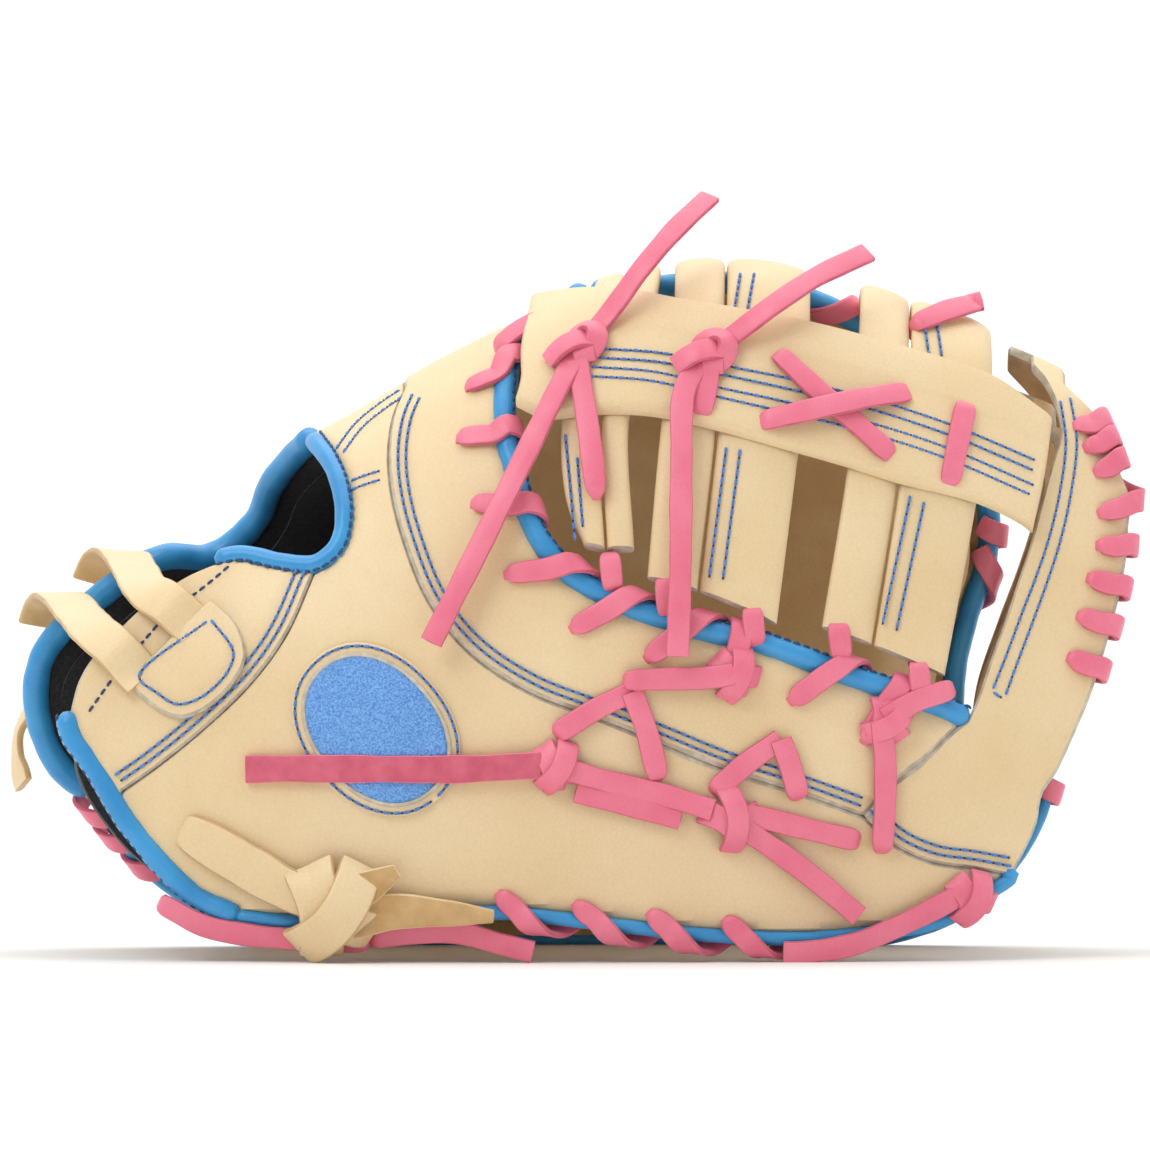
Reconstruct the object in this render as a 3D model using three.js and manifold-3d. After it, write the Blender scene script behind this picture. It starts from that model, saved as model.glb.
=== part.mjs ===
// First base mitt, lying on its open pocket: thumb side towards -Y, wrist at -X, web at the top of +X.
// Millimetres, +Z up. The origin is on the resting surface under the middle of the mitt.
import * as THREE from "three";
import { mergeVertices } from "three/addons/utils/BufferGeometryUtils.js";
import Module from "manifold-3d";

// Driving dimensions
const LENGTH = 330;
const HEIGHT = 204;
const THUMB_DEPTH = 64;
const FINGER_DEPTH = 78;
const SKIN = 3;
const OVERLAP_STEP = 1;
const PALM_THICKNESS = 4.5;
const PALM_SEAM = 1.2;
const HAND_ROOM = 26;
const LINING_THICKNESS = 1.5;
const CLEARANCE = 0.35;
const LACE_WIDTH = 6.4;
const LACE_THICKNESS = 1.8;
const STRAP_WIDTH = 13;
const STRAP_THICKNESS = 2.4;
const TIE_WIDTH = 13;
const TIE_THICKNESS = 2.6;
const WRIST_ROLL_RADIUS = 3.9;
const HOLE_ROLL_RADIUS = 2.9;
const HEEL_ROLL_RADIUS = 2.8;
const RIM_ROLL_RADIUS = 3.35;
const EDGE_ROLL_RADIUS = 2.1;
const BAR_THICKNESS = 6;
const BAR_PROUD = 4.2;
const GROOVE_WIDTH = 1.2;
const POST_THICKNESS = 3;
const PATCH_LENGTH = 54;
const PATCH_WIDTH = 42;
const PATCH_MARGIN = 3.2;
const PATCH_THICKNESS = 1.2;
const THREAD_THICKNESS = 0.6;
const PATCH_SIDES = 24;
const PATCH_TILT = THREE.MathUtils.degToRad(48);
const POST_KNOT_SIZE = 16.8;
const SIDE_KNOT_SIZE = 15.6;
const RIM_KNOT_SIZE = 13.8;
const TIP_KNOT_SIZE = 13.2;
const BAND_KNOT_SIZE = 12;
const KNOT_SINK = 1.2;
const LONG_LACE_WIDTH = 8;
const TIE_KNOT_SIZE = 28;
const KNOT_FLATNESS = 0.6;
const KNOT_HEIGHT_SHARE = 1.15;
const FINEST = 0.04;
const HALF_LAP = 0.6;

// Every outline and route below is drawn on one side-view grid, as [across, down].
// The mitt is GRID_LENGTH units long and GRID_HEIGHT units high on it.
const GRID_LENGTH = 1134;
const GRID_HEIGHT = 703;
const GRID_MIDDLE = 575;
const GRID_FLOOR = 961;
const FAR_AWAY = 4 * LENGTH;

// Cross-sections: the ridge as a height on the grid, the two sides as shares of their depths,
// and the room between back and palm as shares of HAND_ROOM.
const SECTIONS = [
  { across: -25, ridge: 520, thumb: 0.62, finger: 0.54, thumbRoom: 0.6, ridgeRoom: 1.9, fingerRoom: 0.7 },
  { across: 60, ridge: 500, thumb: 0.7, finger: 0.62, thumbRoom: 0.75, ridgeRoom: 1.8, fingerRoom: 0.8 },
  { across: 180, ridge: 482, thumb: 0.84, finger: 0.74, thumbRoom: 0.9, ridgeRoom: 1.7, fingerRoom: 0.95 },
  { across: 315, ridge: 434, thumb: 0.94, finger: 0.86, thumbRoom: 0.95, ridgeRoom: 1.3, fingerRoom: 1 },
  { across: 450, ridge: 357, thumb: 1, finger: 0.95, thumbRoom: 0.85, ridgeRoom: 0.6, fingerRoom: 0.95 },
  { across: 600, ridge: 292, thumb: 1, finger: 1, thumbRoom: 0.65, ridgeRoom: 0.3, fingerRoom: 0.85 },
  { across: 740, ridge: 272, thumb: 0.95, finger: 0.99, thumbRoom: 0.45, ridgeRoom: 0.25, fingerRoom: 0.7 },
  { across: 900, ridge: 308, thumb: 0.83, finger: 0.9, thumbRoom: 0.3, ridgeRoom: 0.25, fingerRoom: 0.45 },
  { across: 1040, ridge: 360, thumb: 0.66, finger: 0.74, thumbRoom: 0.15, ridgeRoom: 0.2, fingerRoom: 0.2 },
  { across: 1120, ridge: 406, thumb: 0.55, finger: 0.6, thumbRoom: 0.12, ridgeRoom: 0.15, fingerRoom: 0.15 },
  { across: 1180, ridge: 444, thumb: 0.47, finger: 0.5, thumbRoom: 0.12, ridgeRoom: 0.15, fingerRoom: 0.15 },
];
const BELLY_SHARE = 0.3;
const ROUNDNESS = 2.2;
const FOOT_ANGLE = THREE.MathUtils.degToRad(27);

// Seams and edges of the thumb side
const WRIST_EDGE = [[71, 709], [79, 681], [94, 656], [122, 627], [143, 607], [184, 579], [212, 566]];
const HOLE_EDGE = [
  [215, 560], [243, 555], [280, 562], [315, 564], [338, 546], [345, 515], [340, 484], [330, 462],
  [318, 447], [311, 440],
];
const WRIST_SEAM = [[314, 572], [286, 635], [251, 683], [203, 729], [156, 767], [122, 791]];
const HEEL_EDGE = [
  [66, 712], [72, 737], [84, 760], [101, 786], [118, 815], [141, 845], [164, 871], [193, 897], [235, 915],
];
const ARC_SEAM = [
  [404, 390], [394, 415], [389, 450], [392, 490], [405, 540], [430, 600], [470, 650], [530, 690],
  [600, 717], [650, 737], [720, 766], [800, 792], [862, 815],
];
const TIP_SEAM = [[862, 815], [895, 845], [933, 862], [971, 868], [1012, 876]];
const BOTTOM_EDGE = [
  [1012, 876], [990, 893], [956, 914], [922, 926], [860, 934], [800, 938], [708, 934], [633, 926],
  [560, 917], [495, 911], [380, 916], [290, 920],
];
const THUMB_RIM = [
  [588, 288], [545, 320], [515, 347], [506, 385], [505, 420], [508, 446], [515, 470], [527, 513],
  [542, 542], [567, 570], [594, 588], [632, 606], [661, 616], [705, 629], [747, 637], [799, 655],
  [857, 677], [895, 690], [943, 707], [968, 719],
];
const TIP_INNER = [
  [967, 713], [976, 701], [991, 658], [1005, 620], [1019, 578], [1032, 540], [1042, 502], [1053, 463],
  [1062, 435], [1057, 404], [1046, 380], [1034, 366],
];
const TIP_OUTER = [
  [1068, 388], [1103, 423], [1112, 444], [1122, 473], [1132, 500], [1130, 521], [1127, 558], [1120, 595],
  [1110, 633], [1092, 692], [1076, 731], [1056, 774], [1042, 795], [1036, 826],
];

const BAND_FOOT = [[862, 815], [892, 783], [921, 761], [951, 732], [968, 719]];

// Edges of the finger side
const FINGER_TIP_SEAM = [[985, 915], [972, 850], [962, 780], [960, 725]];
const FINGER_WRIST_EDGE = [
  [311, 440], [303, 447], [288, 462], [267, 490], [255, 520], [232, 546], [204, 562], [161, 562],
  [132, 574], [90, 605], [54, 637], [35, 664], [28, 698], [32, 733], [45, 766], [64, 789], [86, 800],
];
const FINGER_HEEL = [[93, 816], [118, 856], [165, 902], [225, 934], [300, 952], [370, 955.5]];
const FINGER_BOTTOM = [[370, 955.5], [560, 955.5], [760, 955.5], [900, 952]];
const FINGER_TIP = [[900, 952], [985, 915], [1040, 845], [1060, 790]];
const FINGER_RIM = [
  [590, 291], [640, 290], [700, 283], [770, 288], [840, 312], [900, 352], [955, 420], [992, 500],
  [994, 560], [976, 620], [962, 680], [960, 725],
];
const FINGER_TIP_INNER = [
  [978, 735], [985, 690], [1005, 630], [1024, 578], [1036, 540], [1047, 500], [1052, 450], [1040, 400],
  [1012, 366],
];

// Outlines of the palm and of the lining
const PALM_HEEL = [
  [120, 560], [92, 640], [79, 678], [72, 742], [84, 790], [106, 832], [133, 868], [172, 900], [235, 927],
];

// Web: bars with their stitched lobes, and the long post across them
const BARS = [
  {
    outline: [
      [600, 548], [634, 548], [628, 425], [650, 340], [668, 240], [614, 240], [584, 330], [562, 425],
      [566, 500], [578, 530],
    ],
    groove: [[640, 250], [600, 425], [606, 560]],
  },
  {
    outline: [
      [646, 578], [697, 592], [775, 626], [797, 462], [812, 380], [812, 220], [677, 220], [668, 350],
      [661, 428],
    ],
    groove: [[728, 230], [722, 380], [716, 440], [697, 600]],
  },
  {
    outline: [
      [820, 627], [943, 677], [975, 512], [992, 420], [994, 240], [866, 240], [856, 380], [846, 476],
    ],
    groove: [[912, 250], [908, 400], [897, 492], [870, 655]],
  },
];
// Where the bars stop on the finger side, clear of its rim and lace
const BAR_ENDS = [
  [598, 289], [640, 288], [700, 281], [770, 286], [812, 302], [866, 314], [935, 344], [989, 418],
  [1013, 520], [1010, 640],
];
const POST = [
  [540, 336], [562, 317], [590, 311], [625, 310], [680, 318], [728, 325], [810, 342], [866, 356],
  [918, 370], [990, 394], [1055, 436], [1045, 480], [1030, 540], [975, 512], [897, 492], [846, 476],
  [797, 462], [716, 440], [661, 428], [628, 425], [545, 430], [515, 418], [521, 395], [521, 365],
];

// Whip laces, a row for each turn: hole in the leather, then the far side of the roll
const THUMB_RIM_TURNS = [
  { hole: [472, 384], over: [528, 360] }, { hole: [464, 436], over: [522, 432] },
  { hole: [479, 502], over: [545, 504] }, { hole: [513, 572], over: [583, 562] },
  { hole: [578, 624], over: [633, 592] }, { hole: [652, 653], over: [706, 612] },
  { hole: [733, 684], over: [742, 617] }, { hole: [796, 696], over: [850, 656] },
  { hole: [868, 735], over: [905, 672] },
];
const FINGER_RIM_TURNS = [
  { hole: [892, 400], over: [928, 360] }, { hole: [930, 470], over: [985, 440] },
  { hole: [945, 560], over: [1008, 545] }, { hole: [935, 630], over: [990, 606] },
];
const EDGE_TURNS = [
  { hole: [504, 897], over: [536, 924] }, { hole: [581, 907], over: [614, 934] },
  { hole: [655, 916], over: [684, 941] }, { hole: [730, 923], over: [757, 948] },
];
const TIP_TURNS = [
  { hole: [1084, 425], over: [1112, 414] }, { hole: [1094, 446], over: [1124, 436] },
  { hole: [1104, 470], over: [1138, 460] }, { hole: [1108, 512], over: [1142, 502] },
  { hole: [1106, 546], over: [1138, 548] }, { hole: [1096, 580], over: [1132, 594] },
  { hole: [1086, 618], over: [1124, 634] }, { hole: [1076, 660], over: [1112, 676] },
];

// Free laces and straps: [across, down, rise above lying on what carries them, in mm]
const POST_TIES = [
  { knot: [579, 347], tails: [
    [[579, 347, 2], [605, 318, 6], [640, 270, 10], [676, 228, 14], [710, 196, 17]],
    [[577, 352, 2], [556, 392, 3], [520, 465, 2], [480, 545, 1.5], [432, 640, 1]],
    [[577, 360, 1.5], [584, 400, 1], [590, 440, 0.6], [595, 483, 0.4]],
  ] },
  { knot: [706, 354], tails: [
    [[706, 354, 2], [735, 333, 5], [775, 303, 8], [815, 277, 10], [868, 252, 13]],
    [[700, 360, 2], [684, 390, 2.5], [681, 460, 2], [680, 560, 1.5], [677, 654, 1]],
    [[708, 360, 1.5], [706, 385, 1], [703, 403, 0.3]],
  ] },
];
const CROSS_LACES = [
  [[783, 357, 0.3], [815, 387, 0.4], [852, 419, 0.4], [884, 448, 0.3]],
  [[770, 418, 0.3], [800, 411, 2.6], [860, 398, 2.6], [902, 392, 0.3]],
];
const STRAIGHT_LACE = [[965, 409, 0.1], [958, 440, 0.2], [951, 474, 0.1]];
const TOP_TAIL = [[924, 318, 0.4], [950, 306, 2], [991, 293, 5]];
const LONG_LACE = [[247, 768, 0.6], [290, 767, 1.8], [370, 767, 1.9], [460, 767, 1.8], [541, 763, 3]];
const MAIN_LACE = [[563, 766, 3], [610, 780, 1.2], [660, 792, 1.2], [712, 808, 3.2]];
const LOWER_LACE = [[576, 789, 1.4], [620, 801, 1.2], [680, 816, 1.4]];
const MAIN_TAILS = [
  [[735, 812, 3.2], [765, 817, 1.4], [800, 826, 1.4], [850, 838, 1.2]],
  [[735, 822, 3], [770, 845, 1.5], [812, 876, 2], [858, 915, 3]],
];
const CHEVRONS = [
  [[564, 727, 1], [598, 706, 0.8], [632, 690, 0.8], [646, 728, 0.8], [656, 768, 0.5]],
  [[720, 784, 1], [748, 760, 0.8], [780, 738, 0.8], [790, 766, 0.8], [796, 788, 0.8]],
];
const LACE_KNOTS = [[556, 761], [730, 820]];
const RIM_TIE_KNOT = [733, 670];
const RIM_TIE = [[634, 678, 3.4], [665, 677, 2.6], [705, 676, 3.4], [733, 672, 5]];
const BAND_TIE_KNOT = [882, 722];
const BAND_TIE = [[880, 720, 4], [884, 760, 1], [884, 800, 1], [882, 842, 1]];
const BAND_LACE = [[884, 718, 4], [915, 700, 3.6], [945, 690, 3.6]];
const THUMB_TIE = [[191, 832, 0], [214, 845, 0.1], [250, 866, 0.6], [290, 888, 3], [325, 898, 6]];
const THUMB_TIE_TAILS = [
  [[345, 895, 6], [370, 884, 6], [398, 868, 7]],
  [[350, 915, 6], [400, 909, 5], [450, 911, 4], [494, 914, 4]],
];
const THUMB_TIE_KNOT = [340, 907];
const PATCH_CENTRE = [377, 728];
const BOTTOM_LACES = [
  [[168, 906, 1.2], [205, 925, 0.9], [250, 934, 0.7], [300, 938, 0.7], [360, 940, 0.7]],
  [[380, 936, 0.3], [420, 931, 0.3], [460, 931, 0.3], [500, 942, 0.8], [533, 950, 1.4]],
];
const TIP_LACE = [[783, 951, 2.6], [800, 951, 3], [850, 944, 3], [905, 922, 3], [955, 897, 3]];
const TIP_KNOT = [966, 898];

// Wrist straps: [across, down, distance from the ridge towards the fingers]
const STRAPS = [
  [[189, 613, -50], [170, 602, -49], [150, 591, -42], [134, 570, -12], [121, 554, 20], [107, 551, 40], [92, 564, 51],
    [82, 586, 56]],
  [[134, 660, -50.5], [114, 644, -49], [97, 631, -42], [76, 614, -12], [58, 600, 16], [45, 599, 36], [33, 614, 48],
    [27, 634, 52]],
];
const TAB = [
  [211, 604], [236, 627], [246, 654], [244, 669], [223, 698], [194, 717], [175, 719], [152, 707],
  [127, 684],
];
const LITTLE_FINGER_TIE = [[50, 700, 52], [26, 714, 55], [10, 740, 58], [8, 770, 58], [14, 796, 56]];

const COLOURS = { hide: "#e8cfa5", roll: "#3a9bd6", lace: "#f08098", lining: "#151515", thread: "#5b9be0" };

const wasm = await Module();
wasm.setup();
const mitt = new THREE.Group();

// Grid to millimetres
const alongOf = (across) => ((across - GRID_MIDDLE) * LENGTH) / GRID_LENGTH;
const heightOf = (down) => ((GRID_FLOOR - down) * HEIGHT) / GRID_HEIGHT;

// A column of SECTIONS at any place: a cubic through the rows, with each row's slope from its neighbours
function columnAt(column, across) {
  const last = SECTIONS.length - 1;
  let row = 0;
  while (row < last - 1 && across > SECTIONS[row + 1].across) row += 1;
  const slopeAt = (i) => {
    const before = SECTIONS[Math.max(0, i - 1)];
    const after = SECTIONS[Math.min(last, i + 1)];
    return (after[column] - before[column]) / (after.across - before.across);
  };
  const from = SECTIONS[row];
  const to = SECTIONS[row + 1];
  const step = to.across - from.across;
  const t = THREE.MathUtils.clamp((across - from.across) / step, 0, 1);
  const rise = to[column] - from[column];
  const bend = (slopeAt(row) * step - rise) * (1 - t) + (rise - slopeAt(row + 1) * step) * t;
  return from[column] + rise * t + bend * t * (1 - t);
}

const LEAST_REACH = 8;
// The outer surface is a rounded arch over each place: belly, ridge and reach on either side
function archAt(across, side, lift) {
  const ridge = heightOf(columnAt("ridge", across));
  const depth = side < 0 ? THUMB_DEPTH * columnAt("thumb", across) : FINGER_DEPTH * columnAt("finger", across);
  const belly = BELLY_SHARE * ridge;
  return { belly, rise: ridge + lift - belly, reach: Math.max(depth + lift, LEAST_REACH) };
}

// A point over [across, down] on one side, lifted off the leather
function overShell([across, down, lift = 0], side) {
  const arch = archAt(across, side, lift);
  const z = heightOf(down);
  const share = Math.min(1, Math.abs((z - arch.belly) / arch.rise));
  const y = side * arch.reach * (1 - share ** ROUNDNESS) ** (1 / ROUNDNESS);
  return new THREE.Vector3(alongOf(across), y, z);
}

// A point of the arch by angle: 0 at the thumb belly, a quarter turn at the ridge, a half turn at the finger belly
function archPoint(across, angle, lift) {
  const side = Math.cos(angle) > 0 ? -1 : 1;
  const arch = archAt(across, side, lift);
  const power = 2 / ROUNDNESS;
  const y = side * arch.reach * Math.abs(Math.cos(angle)) ** power;
  const z = arch.belly + arch.rise * Math.sign(Math.sin(angle)) * Math.abs(Math.sin(angle)) ** power;
  return [alongOf(across), y, z];
}

function solidFrom(positions, indices) {
  const geometry = new THREE.BufferGeometry();
  geometry.setAttribute("position", new THREE.Float32BufferAttribute(positions, 3));
  geometry.setIndex(indices);
  return solidOf(geometry);
}

function solidOf(geometry) {
  const bare = geometry.clone();
  bare.deleteAttribute("normal");
  bare.deleteAttribute("uv");
  const merged = mergeVertices(bare, 1e-4);
  const vertProperties = new Float32Array(merged.attributes.position.array);
  return new wasm.Manifold(
    new wasm.Mesh({ numProp: 3, vertProperties, triVerts: new Uint32Array(merged.index.array) }),
  );
}

// Closed strip of rings: each ring has the same number of points, and both ends are capped flat
function solidFromRings(rings) {
  const size = rings[0].length;
  const indices = [];
  for (let r = 0; r + 1 < rings.length; r += 1) {
    for (let i = 0; i < size; i += 1) {
      const a = r * size + i;
      const b = r * size + ((i + 1) % size);
      indices.push(a, b, a + size, b, b + size, a + size);
    }
  }
  const end = (rings.length - 1) * size;
  for (let i = 1; i + 1 < size; i += 1) {
    indices.push(0, i + 1, i, end, end + i, end + i + 1);
  }
  return solidFrom(rings.flat(2), indices);
}

// A leather wall of the whole arch between two lifts, which may vary over it
const ALONG_STEPS = 16;
const ROUND_STEPS = 14;
function wall(outerLift, innerLift) {
  const first = SECTIONS[0].across;
  const last = SECTIONS[SECTIONS.length - 1].across;
  const rings = [];
  for (let i = 0; i <= ALONG_STEPS; i += 1) {
    const across = first + ((last - first) * i) / ALONG_STEPS;
    const outer = [];
    const inner = [];
    for (let j = 0; j <= ROUND_STEPS; j += 1) {
      const share = j / ROUND_STEPS;
      const angle = -FOOT_ANGLE + (Math.PI + 2 * FOOT_ANGLE) * share;
      outer.push(archPoint(across, angle, outerLift(across, share)));
      inner.unshift(archPoint(across, angle, innerLift(across, share)));
    }
    rings.push([...outer, ...inner]);
  }
  return ringsToWall(rings);
}

// Rings that are not convex need their caps split the way the wall runs
function ringsToWall(rings) {
  const size = rings[0].length;
  const indices = [];
  for (let r = 0; r + 1 < rings.length; r += 1) {
    for (let i = 0; i < size; i += 1) {
      const a = r * size + i;
      const b = r * size + ((i + 1) % size);
      indices.push(a, a + size, b, b, a + size, b + size);
    }
  }
  const end = (rings.length - 1) * size;
  for (let i = 0; i < size / 2 - 1; i += 1) {
    const j = size - 1 - i;
    indices.push(i, i + 1, j, i + 1, j - 1, j);
    indices.push(end + i, end + j, end + i + 1, end + i + 1, end + j, end + j - 1);
  }
  return solidFrom(rings.flat(2), indices);
}

// An outline of the side view, pushed through from one depth to another
function prism(outline, fromY, toY) {
  const shape = new THREE.Shape(outline.map(([across, down]) => new THREE.Vector2(alongOf(across), heightOf(down))));
  const geometry = new THREE.ExtrudeGeometry(shape, { depth: toY - fromY, bevelEnabled: false });
  geometry.rotateX(Math.PI / 2);
  geometry.translate(0, toY, 0);
  return solidOf(geometry);
}
const thumbPrism = (outline) => prism(outline, -FAR_AWAY, -CLEARANCE / 2);
const fingerPrism = (outline) => prism(outline, CLEARANCE / 2, FAR_AWAY);

// A thin blade that stands on a seam line
function blade(line, width, fromY, toY) {
  const points = line.map(([across, down]) => new THREE.Vector2(alongOf(across), heightOf(down)));
  const shifted = (sign) =>
    points.map((point, i) => {
      const ahead = points[Math.min(points.length - 1, i + 1)];
      const behind = points[Math.max(0, i - 1)];
      const run = ahead.clone().sub(behind).normalize();
      return point.clone().add(new THREE.Vector2(-run.y, run.x).multiplyScalar((sign * width) / 2));
    });
  const shape = new THREE.Shape([...shifted(1), ...shifted(-1).reverse()]);
  const geometry = new THREE.ExtrudeGeometry(shape, { depth: toY - fromY, bevelEnabled: false });
  geometry.rotateX(Math.PI / 2);
  geometry.translate(0, toY, 0);
  return solidOf(geometry);
}

// Round rolled edge along a route of points
const ROLL_SIDES = 6;
function tube(points, radius, steps, sides = ROLL_SIDES) {
  const corners = Array.from({ length: sides }, (unused, i) => {
    const angle = (2 * Math.PI * i) / sides;
    return new THREE.Vector2(radius * Math.cos(angle), radius * Math.sin(angle));
  });
  const extrudePath = new THREE.CatmullRomCurve3(points, false, "centripetal");
  return solidOf(new THREE.ExtrudeGeometry(new THREE.Shape(corners), { steps, extrudePath, bevelEnabled: false }));
}

// Flat band along points, with the direction of its width at each
function band(points, widthways, width, thickness) {
  const rings = points.map((point, i) => {
    const ahead = points[Math.min(points.length - 1, i + 1)];
    const behind = points[Math.max(0, i - 1)];
    const run = ahead.clone().sub(behind).normalize();
    const across = widthways[i].clone().addScaledVector(run, -widthways[i].dot(run)).normalize();
    const out = new THREE.Vector3().crossVectors(run, across);
    return [[1, 1], [-1, 1], [-1, -1], [1, -1]].map(([u, v]) =>
      point
        .clone()
        .addScaledVector(across, (u * width) / 2)
        .addScaledVector(out, (v * thickness) / 2)
        .toArray(),
    );
  });
  return solidFromRings(rings);
}

// Points at even steps of a smooth curve through a route
function alongCurve(route, steps) {
  const curve = new THREE.CatmullRomCurve3(route.map((row) => new THREE.Vector3(...row)), false, "centripetal");
  return curve.getSpacedPoints(steps).map((point) => point.toArray());
}

// The leather's outward direction at a grid place
function outwards([across, down], side) {
  const here = overShell([across, down], side);
  const alongStep = overShell([across + 4, down], side).sub(here);
  const upStep = overShell([across, down - 4], side).sub(here);
  return new THREE.Vector3().crossVectors(upStep, alongStep).multiplyScalar(side).normalize();
}

// A lace or strap that lies on a surface of its own lift, with the rise that its route gives
function laidBand(route, side, base, width = LACE_WIDTH, thickness = LACE_THICKNESS) {
  const steps = 2 * route.length - 2;
  const lying = base + CLEARANCE + thickness / 2 + LACE_BEND;
  const places = alongCurve(route, steps).map(([across, down, rise]) => [across, down, lying + rise]);
  const points = places.map((place) => overShell(place, side));
  const widthways = points.map((point, i) => {
    const run = points[Math.min(steps, i + 1)].clone().sub(points[Math.max(0, i - 1)]);
    return new THREE.Vector3().crossVectors(outwards(places[i], side), run).normalize();
  });
  return band(points, widthways, width, thickness);
}

// One turn of a whip lace: from its hole over the leather, then as a short helix round the roll where it crosses.
// The helix climbs along the roll as steeply as the turn is slanted.
const LACE_BEND = 0.45;
const ROLL_BEND = 1;
const STEEPEST = 1.1;
const HELIX_TURNS = [0.15, 1.05, 2.05, 3];
function whipTurn({ hole, over }, side, radius, rollLine) {
  const seen = (point) => new THREE.Vector2(point.x, point.z);
  const start = seen(overShell(hole, side));
  const aim = seen(overShell(over, side)).sub(start);
  const off = rollLine.map((point) => Math.abs(aim.cross(seen(point).sub(start))) / aim.length());
  const nearest = off.indexOf(Math.min(...off));
  const centre = rollLine[nearest];
  const ahead = rollLine[Math.min(rollLine.length - 1, nearest + 1)];
  const axis = ahead.clone().sub(rollLine[Math.max(0, nearest - 1)]).normalize();
  const down = GRID_FLOOR - (centre.z * GRID_HEIGHT) / HEIGHT;
  const across = GRID_MIDDLE + (centre.x * GRID_LENGTH) / LENGTH;
  const run = centre.clone().sub(overShell(hole, side)).normalize();
  const out = outwards([across, down], side);
  out.addScaledVector(axis, -out.dot(axis)).normalize();
  const round = new THREE.Vector3().crossVectors(axis, out);
  round.multiplyScalar(Math.sign(round.dot(run)));
  const climb = THREE.MathUtils.clamp(run.dot(axis) / Math.abs(round.dot(run)), -STEEPEST, STEEPEST);
  const lean = (LACE_WIDTH / 2) * Math.sin(Math.atan(climb));
  const around = radius + CLEARANCE + LACE_THICKNESS / 2 + ROLL_BEND + lean ** 2 / (2 * radius);
  const lying = OVERLAP_STEP + CLEARANCE + LACE_THICKNESS / 2 + LACE_BEND;
  const points = [];
  const widthways = [];
  for (const share of [0, 0.4, 0.75]) {
    const place = [hole[0] + (across - hole[0]) * share, hole[1] + (down - hole[1]) * share, lying + share];
    points.push(overShell(place, side));
    widthways.push(new THREE.Vector3().crossVectors(outwards(place, side), run).normalize());
  }
  for (const turn of HELIX_TURNS) {
    const outer = round.clone().multiplyScalar(Math.sin(turn)).addScaledVector(out, Math.cos(turn));
    const onwards = round.clone().multiplyScalar(Math.cos(turn)).addScaledVector(out, -Math.sin(turn));
    onwards.addScaledVector(axis, climb);
    points.push(centre.clone().addScaledVector(outer, around).addScaledVector(axis, around * climb * turn));
    widthways.push(new THREE.Vector3().crossVectors(outer, onwards).normalize());
  }
  return { solid: band(points, widthways, LACE_WIDTH, LACE_THICKNESS), inside: points.at(-1).clone(), out };
}

// All turns of a whip lace, joined by the runs behind the roll
function whipLace(turns, side, radius, route) {
  const rollLine = new THREE.CatmullRomCurve3(route, false, "centripetal").getSpacedPoints(20 * route.length);
  const made = turns.map((turn) => whipTurn(turn, side, radius, rollLine));
  let whole = made[0].solid;
  for (let i = 1; i < made.length; i += 1) {
    const ends = [made[i - 1].inside, made[i].inside];
    const run = ends[1].clone().sub(ends[0]).normalize();
    ends[0].addScaledVector(run, -1);
    ends[1].addScaledVector(run, 1);
    const widthways = new THREE.Vector3().crossVectors(made[i].out, run);
    whole = whole.add(made[i].solid).add(band(ends, [widthways, widthways], LACE_WIDTH / 2, LACE_THICKNESS));
  }
  return whole.subtract(rollRoom);
}

// A tied lump: a ball pressed flat, whose underside lies on a base lift over a grid place
function knot([across, down], side, size, base) {
  const lift = base + CLEARANCE + (size / 2) * KNOT_FLATNESS;
  const out = outwards([across, down], side);
  const place = overShell([across, down], side).addScaledVector(out, lift);
  const geometry = new THREE.SphereGeometry(size / 2, 8, 6);
  geometry.scale(1, KNOT_FLATNESS, KNOT_HEIGHT_SHARE);
  geometry.applyQuaternion(new THREE.Quaternion().setFromUnitVectors(new THREE.Vector3(0, side, 0), out));
  geometry.translate(place.x, place.y, place.z);
  return solidOf(geometry);
}

function joined(solids) {
  return solids.reduce((whole, solid) => whole.add(solid));
}

// The largest body of a cut: slivers that a seam leaves beside it are dropped
function mainBody(solid) {
  return solid.decompose().reduce((best, body) => (body.volume() > best.volume() ? body : best));
}

function addMesh(name, solid, colour, roughness = 0.6) {
  const mesh = mainBody(solid).simplify(FINEST).getMesh();
  const geometry = new THREE.BufferGeometry();
  geometry.setAttribute("position", new THREE.BufferAttribute(new Float32Array(mesh.vertProperties), 3));
  geometry.setIndex(new THREE.BufferAttribute(new Uint32Array(mesh.triVerts), 1));
  geometry.computeVertexNormals();
  const body = new THREE.Mesh(geometry, new THREE.MeshStandardMaterial({ color: colour, roughness, metalness: 0 }));
  body.name = name;
  mitt.add(body);
  return body;
}

const constant = (value) => () => value;
const rollRoute = (line, side) => line.map(([across, down]) => overShell([across, down, -SKIN / 2], side));

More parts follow.
